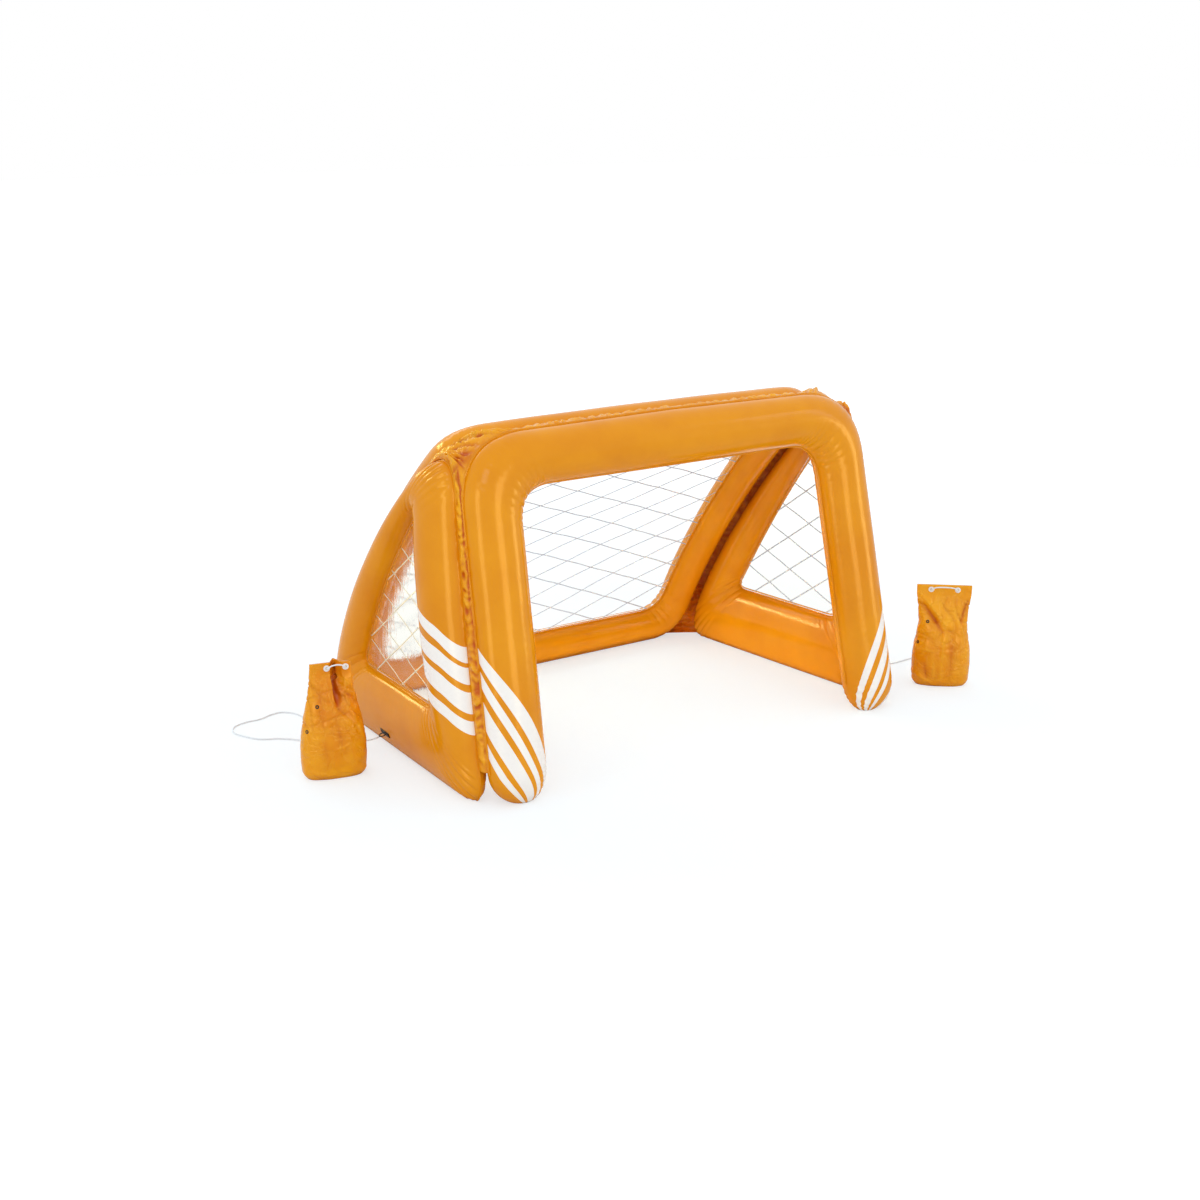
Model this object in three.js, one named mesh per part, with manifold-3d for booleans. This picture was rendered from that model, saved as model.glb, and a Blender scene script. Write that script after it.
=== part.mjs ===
// Inflatable pool goal with two anchor bags tied to it by cords.
// Millimetres. X runs along the goal line, the mouth faces -Y and Z is up.
import * as THREE from 'three';
import { mergeVertices } from 'three/addons/utils/BufferGeometryUtils.js';
import Module from 'manifold-3d';

const wasm = await Module();
wasm.setup();

// Whole goal
const seatGap = 0.35;
const floorSquash = 6;
const cutOverrun = 40;

// Front frame: an upside-down U that leans back
const frontHeight = 801;
const frontFoot = 429;
const frontLean = 170;
const frontHalfWidth = 602;
const frontTopHalfWidth = 574;
const legTube = 139;
const barTube = 124;
const mouthHalfWidth = frontHalfWidth - legTube;
const mouthHeight = frontHeight - barTube;
const frontThickness = 113;
const frontCrown = 9;
const frontOuterRound = 165;
const mouthRound = 88;
const footTaper = 72;
const footTipShare = 0.4;

// Side panels: rings that toe in towards the back, lean in with height and bow outwards
const sideStand = 12;
const sideTopStand = 11;
const sideHalfWidth = frontHalfWidth + sideStand;
const sideTopHalfWidth = frontTopHalfWidth + sideTopStand;
const sideToeIn = 50;
const sideBow = 30;
const sideBends = 8;
const sideThickness = 84;
const sideFrontTube = 150;
const sideSet = 25;
const archSet = 28;
const sideTopDrop = 129;
const sideTopTaper = frontHeight - sideTopDrop;
const windowSill = 168;
const windowApexDrop = 171;
const windowApex = frontHeight - windowApexDrop;
const windowHeelInset = 196;
const windowBow = 12;
const windowRound = 48;
const sideHeelRound = 90;
const sideToeRound = 70;

// Back panel: a ring that curves over from behind the bar to the floor
const topSeamWidth = 64;
const topSeamDrop = 23;
const backCrown = 12;
const backFoot = 388;
const windowHeel = backFoot - windowHeelInset;
const shoulderReach = 180;
const shoulderDrop = 98;
const heelReach = 26;
const heelRise = 252;
const backThickness = 94;
const backPost = 94;
const backTopTube = 100;
const backBottomTube = 95;
const backOuterRound = 120;
const backTopInnerRound = 40;
const backBottomInnerRound = 66;
const cornerSet = 28;

// Clear film and the net printed on it
const filmThickness = 1;
const netThickness = 0.8;
const netLine = 3.4;
const netBorder = 4;
const backNetCell = new THREE.Vector2(184, 86);
const backNetShift = new THREE.Vector2(52, -30);
const sideNetCell = new THREE.Vector2(166, 88);
const sideNetShift = new THREE.Vector2(6, -35);
const sideNetTiltShare = 0.55;

// Welded strips and webs between the panels
const seamThickness = 1.4;
const seamRuffle = 2.6;
const topRuffle = 8;
const gussetCrumple = 3.2;
const cornerCrown = 26;
const seamFootHeight = 78;
const webSteps = 12;
const webRows = 3;

// Inflation valves
const valveFlangeRadius = 15;
const valveFlange = 1.6;
const valveNeckRadius = 8;
const valveBoreRadius = 5.4;
const valveNeck = 9;
const plugRadius = 4.6;
const plugTip = 3.4;
const plugDepth = 5;
const capRadius = 9;
const capThickness = 2;
const strapWidth = 6;
const strapReach = 12.5;
const strapPlay = 0.6;

// Tether loops, cords and anchor bags
const loopPlateLength = 44;
const loopPlateHeight = 13;
const loopPlate = 2.4;
const loopRadius = 8;
const loopWire = 2.4;
const cordDiameter = 4;
const bagWidth = 152;
const bagDepth = 92;
const bagHeight = 272;
const leftBagFold = 30;
const leftBagStand = 183;
const leftBagSet = 47;
const rightBagStand = 203;
const rightBagSet = 394;
const leftBagPlace = new THREE.Vector2(-sideHalfWidth - leftBagStand, -leftBagSet);
const rightBagPlace = new THREE.Vector2(sideHalfWidth + rightBagStand, -rightBagSet);
const leftBagTurnShare = -15 / 360;
const rightBagTurnShare = -42 / 360;
const grommetRadius = 7.5;
const grommetHole = 2.65;
const grommetThickness = 1.8;
const grommetDrop = 12;
const handleDiameter = 3.4;
const handleRise = 8;
const handleBendShare = 1.2;
const handleLiftShares = [0.15, 0.7];
const knotRadius = 5;
const eyeletRadius = 4.6;
const eyeletHole = 1.8;
const eyeletThickness = 1.6;
// For each level up the bag: its height, width and depth as shares, and how square it is
const bagFormShares = [
  [0, 0.84, 0.62, 2.6],
  [0.035, 0.94, 0.82, 2.6],
  [0.11, 0.985, 0.96, 2.5],
  [0.24, 1, 1, 2.4],
  [0.38, 0.97, 0.95, 2.3],
  [0.5, 0.9, 0.82, 2.3],
  [0.6, 0.85, 0.68, 2.3],
  [0.7, 0.85, 0.5, 2.4],
  [0.8, 0.885, 0.3, 2.6],
  [0.9, 0.93, 0.08, 6],
  [1, 0.94, 0.076, 6],
];
const bagAcrossShares = [-1, -0.96, -0.8, -0.45, 0, 0.14, 0.28, 0.42, 0.56, 0.9, 1];
const foldMiddleShare = 0.28;
const foldReachShare = 0.28;
const foldStartShare = 0.5;
const foldSqueezeShare = 0.34;
const leftGrommetShares = [-0.18, 0.74];
const rightGrommetShares = [-0.48, 0.48];

// How finely curves are drawn
const tubeSides = 14;
const profileSteps = 12;
const cornerSteps = 6;
const ringSides = 8;
const cordSides = 8;
const cordSteps = 58;
const handleSteps = 16;
const dropShares = [0.46, 0.12, 0.02];
const tidyShare = 0.02;

// Colours, roughness and metalness of each finish
const orange = { color: 0xf29a14, roughness: 0.32, metalness: 0 };
const deepOrange = { color: 0xd87410, roughness: 0.4, metalness: 0 };
const clear = { color: 0xe9eef2, roughness: 0.2, metalness: 0 };
const white = { color: 0xf4f4f2, roughness: 0.55, metalness: 0 };
const valveWhite = { color: 0xf6e7b8, roughness: 0.35, metalness: 0 };
const black = { color: 0x17171a, roughness: 0.5, metalness: 0 };

const vec = (x, y, z = 0) => new THREE.Vector3(x, y, z);
const flat = (x, y) => new THREE.Vector2(x, y);
const mix = THREE.MathUtils.lerp;
const count = (n) => Array.from({ length: n }, (_, i) => i);
const half = (size) => size / 2;

// Closed bodies from points and faces

function signedVolume(geometry) {
  const corner = count(3).map(() => new THREE.Vector3());
  const { position } = geometry.attributes;
  let volume = 0;
  for (let i = 0; i < geometry.index.count; i += 3) {
    corner.forEach((c, k) => c.fromBufferAttribute(position, geometry.index.getX(i + k)));
    volume += corner[0].dot(corner[1].clone().cross(corner[2]));
  }
  return volume;
}

function turnOut(geometry) {
  if (signedVolume(geometry) < 0) {
    const order = Array.from(geometry.index.array);
    for (let i = 0; i < order.length; i += 3) {
      [order[i], order[i + 1]] = [order[i + 1], order[i]];
    }
    geometry.setIndex(order);
  }
  return geometry;
}

function body(points, faces) {
  const geometry = new THREE.BufferGeometry();
  const numbers = points.flatMap((p) => p.toArray());
  geometry.setAttribute('position', new THREE.Float32BufferAttribute(numbers, 3));
  geometry.setIndex(faces.flat());
  return turnOut(geometry);
}

function welded(geometry) {
  const bare = geometry.clone();
  bare.deleteAttribute('normal');
  bare.deleteAttribute('uv');
  return mergeVertices(bare);
}

// Boolean work

function toManifold(geometry) {
  const merged = turnOut(welded(geometry));
  return new wasm.Manifold(new wasm.Mesh({
    numProp: 3,
    vertProperties: new Float32Array(merged.attributes.position.array),
    triVerts: new Uint32Array(merged.index.array),
  }));
}

function fromManifold(manifold) {
  const mesh = manifold.getMesh();
  const geometry = new THREE.BufferGeometry();
  geometry.setAttribute('position', new THREE.BufferAttribute(new Float32Array(mesh.vertProperties), 3));
  geometry.setIndex(Array.from(mesh.triVerts));
  return geometry;
}

function joined(...geometries) {
  return fromManifold(geometries.map(toManifold).reduce((whole, part) => whole.add(part)));
}

// Cuts away what lies below the floor, where an inflated tube is squashed flat.
function stoodOnFloor(geometry) {
  geometry.computeBoundingBox();
  const { min, max } = geometry.boundingBox;
  const span = max.clone().sub(min).addScalar(cutOverrun);
  const slab = new THREE.BoxGeometry(span.x, span.y, cutOverrun);
  slab.translate(mix(min.x, max.x, 0.5), mix(min.y, max.y, 0.5), -half(cutOverrun));
  return fromManifold(toManifold(geometry).subtract(toManifold(slab)));
}

function mirrored(geometry) {
  const copy = geometry.index ? geometry.clone() : welded(geometry);
  copy.scale(-1, 1, 1);
  return turnOut(copy);
}

// The three surfaces that the panels lie in: (across, along, out of the surface) to a point

const leanSlope = frontLean / frontHeight;
const frontOut = vec(0, -1, leanSlope).normalize();
function onFront(x, height, out = 0) {
  return vec(x, height * leanSlope - frontFoot, height).addScaledVector(frontOut, out);
}

const panelDepth = frontFoot + backFoot;
const toeSlope = sideToeIn / panelDepth;
const splaySlope = (sideHalfWidth - sideTopHalfWidth) / frontHeight;
const sideOut = vec(1, toeSlope, splaySlope).normalize();
const sideLevels = count(sideBends + 1).map((i) => frontHeight * i / sideBends);
function bowAt(level) {
  const share = level / sideBends;
  return 4 * sideBow * share * (1 - share);
}
function sideReach(y, z, stride = 1) {
  const place = sideBends * z / frontHeight;
  const level = stride * THREE.MathUtils.clamp(Math.floor(place / stride), 0, sideBends / stride - 1);
  const bow = mix(bowAt(level), bowAt(level + stride), (place - level) / stride);
  const bowShare = THREE.MathUtils.clamp((y - onFront(0, z).y) / sideFrontTube, 0, 1);
  return sideHalfWidth + bow * bowShare - toeSlope * (y + frontFoot) - splaySlope * z;
}
function onSide(y, z, out = 0) {
  return vec(sideReach(y, z), y, z).addScaledVector(sideOut, out);
}

const barTop = onFront(0, frontHeight);
const backTop = flat(barTop.y + topSeamWidth, barTop.z - topSeamDrop);
const backHeel = flat(backFoot, -floorSquash);
const profile = new THREE.CubicBezierCurve(
  backTop,
  flat(backTop.x + shoulderReach, backTop.y - shoulderDrop),
  flat(backHeel.x - heelReach, backHeel.y + heelRise),
  backHeel,
).getSpacedPoints(profileSteps);
const profileStep = profile[0].distanceTo(profile[1]);
const backLength = profileStep * profileSteps;
const outOf = (bends) => bends.map((_, i) => {
  const before = bends[Math.max(i - 1, 0)];
  const after = bends[Math.min(i + 1, bends.length - 1)];
  const along = after.clone().sub(before).normalize();
  return flat(-along.y, along.x);
});
function over(bends, outs, x, run, out) {
  const place = run / backLength * (bends.length - 1);
  const i = THREE.MathUtils.clamp(Math.floor(place), 0, bends.length - 2);
  const share = place - i;
  const p = bends[i].clone().lerp(bends[i + 1], share);
  const n = outs[i].clone().lerp(outs[i + 1], share).normalize();
  return vec(x, p.x + n.x * out, p.y + n.y * out);
}
const profileOut = outOf(profile);
const onBack = (x, run, out = 0) => over(profile, profileOut, x, run, out);
function backReach(run) {
  const p = onBack(0, run);
  return sideReach(p.y, p.z) - cornerSet;
}

// Outlines

function rounded(from, via, to, steps = cornerSteps) {
  return new THREE.QuadraticBezierCurve(from, via, to).getPoints(steps);
}

// The points strictly between two ends, bowed sideways by up to bow at the middle.
function between(from, to, steps, bow = 0) {
  const side = flat(from.y - to.y, to.x - from.x).normalize();
  return count(steps - 1).map((i) => {
    const share = (i + 1) / steps;
    return from.clone().lerp(to, share).addScaledVector(side, 4 * bow * share * (1 - share));
  });
}

function meeting(p, alongP, q, alongQ) {
  const cross = alongP.x * alongQ.y - alongP.y * alongQ.x;
  const gap = q.clone().sub(p);
  return p.clone().addScaledVector(alongP, (gap.x * alongQ.y - gap.y * alongQ.x) / cross);
}

function area(points) {
  return THREE.ShapeUtils.area(points);
}

// The closed outline drawn in by a distance.
function inset(points, distance) {
  const turn = Math.sign(area(points));
  return points.map((p, i) => {
    const before = points.at(i - 1);
    const after = points[(i + 1) % points.length];
    const a = p.clone().sub(before).normalize();
    const b = after.clone().sub(p).normalize();
    const normal = flat(-(a.y + b.y), a.x + b.x).normalize();
    const spread = Math.max(flat(-a.y, a.x).dot(normal), 0.5);
    return p.clone().addScaledVector(normal, turn * distance / spread);
  });
}

// Inflated tubes: a section swells between an outer and an inner welded edge

function tubePoint(station, side, place) {
  const angle = 2 * Math.PI * side / tubeSides;
  const across = station.inner.clone().lerp(station.outer, (1 + Math.cos(angle)) / 2);
  return place(across.x, across.y, station.swell * Math.sin(angle));
}

function stations(outer, inner, thickness) {
  return outer.map((p, i) => ({ outer: p, inner: inner[i], swell: half(thickness) }));
}

function inflated(line, place, closed) {
  const points = line.flatMap((s) => count(tubeSides).map((side) => tubePoint(s, side, place)));
  const faces = [];
  const rings = closed ? line.length : line.length - 1;
  for (let i = 0; i < rings; i++) {
    const next = (i + 1) % line.length;
    for (let side = 0; side < tubeSides; side++) {
      const turn = (side + 1) % tubeSides;
      const a = i * tubeSides + side;
      const b = next * tubeSides + side;
      const c = next * tubeSides + turn;
      const d = i * tubeSides + turn;
      faces.push([a, b, c], [a, c, d]);
    }
  }
  if (!closed) {
    const last = (line.length - 1) * tubeSides;
    for (let side = 1; side < tubeSides - 1; side++) {
      faces.push([0, side, side + 1], [last, last + side + 1, last + side]);
    }
  }
  return body(points, faces);
}

// The middle, outward normal and run of a facet, given its corners and a point inside the body.
function seatOn(corner, core) {
  const middle = corner.reduce((sum, p) => sum.add(p), vec(0, 0)).divideScalar(corner.length);
  const run = corner[1].clone().add(corner[2]).sub(corner[0]).sub(corner[3]).normalize();
  const across = corner[3].clone().add(corner[2]).sub(corner[0]).sub(corner[1]).normalize();
  const normal = run.clone().cross(across).normalize();
  if (middle.clone().sub(core).dot(normal) < 0) {
    normal.negate();
  }
  return { middle, normal, run };
}

function tubeSeat(line, i, side, place) {
  const corner = [[i, side], [i + 1, side], [i + 1, side + 1], [i, side + 1]];
  const ring = count(tubeSides).map((k) => tubePoint(line[i], k, place));
  const core = ring.reduce((sum, p) => sum.add(p), vec(0, 0)).divideScalar(tubeSides);
  return seatOn(corner.map(([k, turn]) => tubePoint(line[k], turn, place)), core);
}

// Turns and moves a piece modelled on the XY plane so that it stands on a facet.
function seated(geometry, { middle, normal, run }) {
  const across = normal.clone().cross(run).normalize();
  const frame = new THREE.Matrix4().makeBasis(across.clone().cross(normal).normalize(), across, normal);
  const place = middle.clone().addScaledVector(normal, seatGap);
  return geometry.applyMatrix4(frame.setPosition(place));
}

// Sheets: a grid of points given a thickness, closed round its edges

function sheet(grid, thickness) {
  const rows = grid.length;
  const columns = grid[0].length;
  const at = (r, c) => grid[THREE.MathUtils.clamp(r, 0, rows - 1)][THREE.MathUtils.clamp(c, 0, columns - 1)];
  const points = [];
  for (const side of [1, -1]) {
    for (let r = 0; r < rows; r++) {
      for (let c = 0; c < columns; c++) {
        const down = at(r + 1, c).clone().sub(at(r - 1, c));
        const across = at(r, c + 1).clone().sub(at(r, c - 1));
        const normal = down.cross(across).normalize();
        points.push(at(r, c).clone().addScaledVector(normal, side * half(thickness)));
      }
    }
  }
  const index = (r, c) => r * columns + c;
  const under = rows * columns;
  const faces = [];
  for (let r = 0; r < rows - 1; r++) {
    for (let c = 0; c < columns - 1; c++) {
      const [a, b, d, e] = [index(r, c), index(r + 1, c), index(r + 1, c + 1), index(r, c + 1)];
      faces.push([a, b, d], [a, d, e], [under + a, under + d, under + b], [under + a, under + e, under + d]);
    }
  }
  const rim = [
    ...count(rows - 1).map((r) => index(r, 0)),
    ...count(columns - 1).map((c) => index(rows - 1, c)),
    ...count(rows - 1).map((r) => index(rows - 1 - r, columns - 1)),
    ...count(columns - 1).map((c) => index(0, columns - 1 - c)),
  ];
  rim.forEach((a, i) => {
    const b = rim[(i + 1) % rim.length];
    faces.push([a, under + b, b], [a, under + a, under + b]);
  });
  return body(points, faces);
}

// Flat work: a slab of an outline, cut along the panel's bends and laid on its surface

function slab(outline, thickness, holes = []) {
  const shape = new THREE.Shape(area(outline) < 0 ? [...outline].reverse() : outline);
  shape.holes = holes.map((points) => new THREE.Path(points));
  const geometry = new THREE.ExtrudeGeometry(shape, { depth: thickness, bevelEnabled: false });
  return geometry.translate(0, 0, -half(thickness));
}

function splitAt(triangles, level) {
  const cut = (a, b) => {
    const [low, high] = a.y < b.y ? [a, b] : [b, a];
    const point = low.clone().lerp(high, (level - low.y) / (high.y - low.y));
    point.y = level;
    return point;
  };
  return triangles.flatMap((corners) => {
    const above = corners.map((p) => p.y > level);
    const below = corners.map((p) => p.y < level);
    if (!above.includes(true) || !below.includes(true)) {
      return [corners];
    }
    const upper = [];
    const lower = [];
    corners.forEach((p, i) => {
      const next = (i + 1) % 3;
      if (!below[i]) upper.push(p);
      if (!above[i]) lower.push(p);
      if ((above[i] && below[next]) || (below[i] && above[next])) {
        const middle = cut(p, corners[next]);
        upper.push(middle);
        lower.push(middle);
      }
    });
    return [upper, lower].flatMap((loop) => (
      count(loop.length - 2).map((i) => [loop[0], loop[i + 1], loop[i + 2]])
    ));
  });
}

function laid(geometry, levels, place, out = 0) {
  const soup = geometry.index ? geometry.toNonIndexed() : geometry;
  const { position } = soup.attributes;
  let triangles = count(position.count / 3).map((t) => (
    count(3).map((k) => new THREE.Vector3().fromBufferAttribute(position, 3 * t + k))
  ));
  for (const level of levels) {
    triangles = splitAt(triangles, level);
  }
  const bent = new THREE.BufferGeometry();
  const numbers = triangles.flat().flatMap((p) => place(p.x, p.y, p.z + out).toArray());
  bent.setAttribute('position', new THREE.Float32BufferAttribute(numbers, 3));
  return turnOut(mergeVertices(bent));
}

// A diamond net inside an outline: straight lines crossing, turned by a slope, with a border.
function netSlab(outline, slope, cell, shift) {
  const box = new THREE.Box2().setFromPoints(outline);
  const centre = box.getCenter(flat(0, 0)).add(shift);
  const reach = box.getSize(flat(0, 0)).length();
  const lines = Math.ceil(reach / cell.y);
  const pitch = half(cell.length());
  const spans = 2 * Math.ceil(reach / pitch);
  let net = toManifold(slab(outline, netThickness, [inset(outline, netBorder)]));
  const window = toManifold(slab(outline, netThickness));
  for (const lean of [-1, 1]) {
    for (let i = -lines; i <= lines; i++) {
      const bar = new THREE.BoxGeometry(spans * pitch, netLine, netThickness, spans);
      bar.rotateZ(lean * cell.angle());
      bar.translate(0, i * cell.y, 0);
      bar.rotateZ(Math.atan(slope)).translate(centre.x, centre.y, 0);
      net = net.add(toManifold(bar).intersect(window));
    }
  }
  return fromManifold(net.asOriginal().simplify(netThickness * tidyShare));
}

// Round pieces

function turnedPiece(outline) {
  const points = outline.map(([r, z]) => flat(r, z));
  const geometry = new THREE.LatheGeometry([...points, points[0].clone()], ringSides);
  return welded(geometry.rotateX(Math.PI / 2));
}

function washer(outerRadius, innerRadius, thickness) {
  return turnedPiece([
    [innerRadius, 0], [outerRadius, 0], [outerRadius, thickness], [innerRadius, thickness],
  ]);
}

function cordTube(points, diameter, steps, sides) {
  const section = new THREE.Shape(count(sides).map((i) => (
    flat(Math.cos(2 * Math.PI * i / sides), Math.sin(2 * Math.PI * i / sides)).multiplyScalar(half(diameter))
  )));
  const extrudePath = new THREE.CatmullRomCurve3(points, false, 'centripetal');
  return new THREE.ExtrudeGeometry(section, { steps, extrudePath });
}

// The object's pieces

const goal = new THREE.Group();
function add(name, geometry, finish, parent = goal) {
  const mesh = new THREE.Mesh(geometry, new THREE.MeshStandardMaterial(finish));
  mesh.name = name;
  parent.add(mesh);
  return mesh;
}
function addPair(name, geometry, finish) {
  add(`${name}_right`, geometry, finish);
  add(`${name}_left`, mirrored(geometry), finish);
}

// Front frame: two feet, two legs and the bar are one air chamber

const legSplay = (frontHalfWidth - frontTopHalfWidth) / frontHeight;
const legEdge = (height) => frontHalfWidth - legSplay * height;
const mouthEdge = (height) => mouthHalfWidth - legSplay * height;

function frontStations() {
  const legSteps = 7;
  const footShares = [0.965, 0.84, 0.62, 0.34];
  const lowCorner = frontHeight - frontOuterRound;
  const lowMouth = mouthHeight - mouthRound;
  const outer = [flat(legEdge(footTaper), footTaper)];
  const inner = [flat(mouthEdge(footTaper), footTaper)];
  outer.push(...between(outer[0], flat(legEdge(lowCorner), lowCorner), legSteps));
  inner.push(...between(inner[0], flat(mouthEdge(lowMouth), lowMouth), legSteps));
  const cornerTop = frontHeight - frontCrown;
  outer.push(...rounded(
    flat(legEdge(lowCorner), lowCorner),
    flat(legEdge(cornerTop), cornerTop),
    flat(legEdge(cornerTop) - frontOuterRound, cornerTop + half(frontCrown)),
  ));
  inner.push(...rounded(
    flat(mouthEdge(lowMouth), lowMouth),
    flat(mouthEdge(mouthHeight), mouthHeight),
    flat(mouthEdge(mouthHeight) - mouthRound, mouthHeight),
  ));
  const crown = flat(0, frontHeight);
  outer.push(...between(outer.at(-1), crown, 4), crown);
  inner.push(...between(inner.at(-1), flat(0, mouthHeight), 4), flat(0, mouthHeight));
  const line = stations(outer, inner, frontThickness);
  const foot = footShares.map((share) => {
    const height = footTaper - share * (footTaper + floorSquash);
    const keep = Math.sqrt(1 - share * share);
    const tip = mix(mouthEdge(height), legEdge(height), footTipShare);
    return {
      outer: flat(mix(tip, legEdge(height), keep), height),
      inner: flat(mix(tip, mouthEdge(height), keep), height),
      swell: half(frontThickness) * keep,
    };
  });
  const rightHalf = [...foot, ...line];
  const flip = (station) => ({
    outer: flat(-station.outer.x, station.outer.y),
    inner: flat(-station.inner.x, station.inner.y),
    swell: station.swell,
  });
  return [...rightHalf, ...rightHalf.slice(0, -1).reverse().map(flip)];
}
const frontLine = frontStations();
add('front_frame', stoodOnFloor(inflated(frontLine, onFront, false)), orange);

// Back panel

const backLevels = count(profileSteps + 1).map((i) => i * profileStep);
const backTopSide = backOuterRound;
const backLowSide = backLength - backOuterRound;
const postLevels = backLevels.filter((s) => (
  s > backTopTube + backTopInnerRound && s < backLength - backBottomTube - backBottomInnerRound
));

function backEdges() {
  const windowTop = backTopTube;
  const windowLow = backLength - backBottomTube;
  const innerReach = (s) => backReach(s) - backPost;
  const acrossSteps = 6;
  const topOuter = rounded(
    flat(backReach(0) - backOuterRound, 0),
    flat(backReach(0), 0),
    flat(backReach(backTopSide), backTopSide),
  );
  const topInner = rounded(
    flat(innerReach(windowTop) - backTopInnerRound, windowTop),
    flat(innerReach(windowTop), windowTop),
    flat(innerReach(windowTop + backTopInnerRound), windowTop + backTopInnerRound),
  );
  const lowOuter = rounded(
    flat(backReach(backLowSide), backLowSide),
    flat(backReach(backLength), backLength),
    flat(backReach(backLength) - backOuterRound, backLength),
  );
  const lowInner = rounded(
    flat(innerReach(windowLow - backBottomInnerRound), windowLow - backBottomInnerRound),
    flat(innerReach(windowLow), windowLow),
    flat(innerReach(windowLow) - backBottomInnerRound, windowLow),
  );
  const flip = (points) => points.map((p) => flat(-p.x, p.y)).reverse();
  const rightOuter = [...topOuter, ...postLevels.map((s) => flat(backReach(s), s)), ...lowOuter];
  const rightInner = [...topInner, ...postLevels.map((s) => flat(innerReach(s), s)), ...lowInner];
  const close = (right, left, crown) => [
    ...right,
    ...between(right.at(-1), left[0], acrossSteps),
    ...left,
    ...between(left.at(-1), right[0], acrossSteps, crown),
  ];
  return {
    outer: close(rightOuter, flip(rightOuter), -backCrown),
    inner: close(rightInner, flip(rightInner), 0),
  };
}
const backOutline = backEdges();
const backLine = stations(backOutline.outer, backOutline.inner, backThickness);
add('back_ring', stoodOnFloor(inflated(backLine, onBack, true)), orange);

// Side panels

const frontEdge = (z, set) => flat(z * leanSlope - frontFoot + set, z);
const leanAlong = flat(leanSlope, 1).normalize();
const archPoint = (i) => profile[i].clone().addScaledVector(profileOut[i], -archSet);
const archAlong = (i) => flat(profileOut[i].y, -profileOut[i].x);
const archStart = 1;
const archEnd = profile.findLastIndex((p) => p.y > sideHeelRound);

function sideEdges() {
  const floorLine = flat(1, 0);
  const topVia = meeting(frontEdge(0, sideSet), leanAlong, archPoint(archStart), archAlong(archStart));
  const heelVia = meeting(archPoint(archEnd), archAlong(archEnd), flat(0, -floorSquash), floorLine);
  const toeVia = frontEdge(-floorSquash, sideSet);
  const outerTop = rounded(frontEdge(sideTopTaper, sideSet), topVia, archPoint(archStart));
  const outerHeel = rounded(archPoint(archEnd), heelVia, flat(heelVia.x - sideHeelRound, heelVia.y));
  const outerToe = rounded(
    flat(toeVia.x + sideToeRound, toeVia.y),
    toeVia,
    frontEdge(sideToeRound, sideSet),
  );
  const windowSet = sideSet + sideFrontTube;
  const apex = frontEdge(windowApex, windowSet);
  const heel = flat(windowHeel, windowSill);
  const toe = frontEdge(windowSill, windowSet);
  const slope = heel.clone().sub(apex).normalize();
  const innerTop = rounded(
    apex.clone().addScaledVector(leanAlong, -windowRound),
    apex,
    apex.clone().addScaledVector(slope, windowRound),
  );
  const innerHeel = rounded(
    heel.clone().addScaledVector(slope, -windowRound),
    heel,
    flat(heel.x - windowRound, heel.y),
  );
  const innerToe = rounded(
    flat(toe.x + windowRound, toe.y),
    toe,
    toe.clone().addScaledVector(leanAlong, windowRound),
  );
  const archSteps = archEnd - archStart;
  const sillSteps = 8;
  const frontSteps = 7;
  const arch = count(archSteps - 1).map((i) => archPoint(archStart + 1 + i));
  const outer = [
    ...outerTop, ...arch,
    ...outerHeel, ...between(outerHeel.at(-1), outerToe[0], sillSteps),
    ...outerToe, ...between(outerToe.at(-1), outerTop[0], frontSteps),
  ];
  const inner = [
    ...innerTop, ...between(innerTop.at(-1), innerHeel[0], archSteps, windowBow),
    ...innerHeel, ...between(innerHeel.at(-1), innerToe[0], sillSteps),
    ...innerToe, ...between(innerToe.at(-1), innerTop[0], frontSteps),
  ];
  return { outer, inner };
}
const sideOutline = sideEdges();
const sideLine = stations(sideOutline.outer, sideOutline.inner, sideThickness);
addPair('side_ring', stoodOnFloor(inflated(sideLine, onSide, true)), orange);

// Clear windows and the net print on their inner faces, which bend at every second level

const filmStride = 2;
const everySecond = (_, i) => i % filmStride === 0;
const filmBends = profile.filter(everySecond);
const filmOut = outOf(filmBends);
const filmLevels = backLevels.filter(everySecond);
const sideFilmLevels = sideLevels.filter(everySecond);
const onBackFilm = (x, run, out = 0) => over(filmBends, filmOut, x, run, out);
const onSideFilm = (y, z, out = 0) => vec(sideReach(y, z, filmStride), y, z).addScaledVector(sideOut, out);

const rightStations = 2 * (cornerSteps + 1) + postLevels.length;
const backWindow = inset(backOutline.inner, seatGap);
const backRows = backWindow.slice(0, rightStations).map((p) => (
  [-p.x, p.x].map((x) => onBackFilm(x, p.y))
));
const sideWindow = inset(sideOutline.inner, seatGap);
const printOut = -(half(filmThickness) + half(netThickness) + seatGap);
add('back_film', sheet(backRows, filmThickness), clear);
addPair('side_film', laid(slab(sideWindow, filmThickness), sideFilmLevels, onSideFilm), clear);
const backNet = netSlab(inset(backWindow, netBorder), 0, backNetCell, backNetShift);
add('back_net', laid(backNet, filmLevels, onBackFilm, printOut), white);
const sideNetSlope = -leanSlope * sideNetTiltShare;
const sideNet = netSlab(inset(sideWindow, netBorder), sideNetSlope, sideNetCell, sideNetShift);
addPair('side_net', laid(sideNet, sideFilmLevels, onSideFilm, printOut), white);

// Ruffled strips that join the panels edge to edge

const ruffle = (i, depth) => (i % 2 ? depth : -depth);
function strip(edgeA, edgeB, depth, raise) {
  const rows = [0, 0.5, 1];
  const grid = edgeA.map((a, i) => rows.map((share) => {
    const p = a.clone().lerp(edgeB[i], share);
    const lift = share === 0.5 ? ruffle(i, depth) : 0;
    return p.addScaledVector(raise, 4 * share * (1 - share) * depth + lift);
  }));
  return sheet(grid, seamThickness);
}

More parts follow.
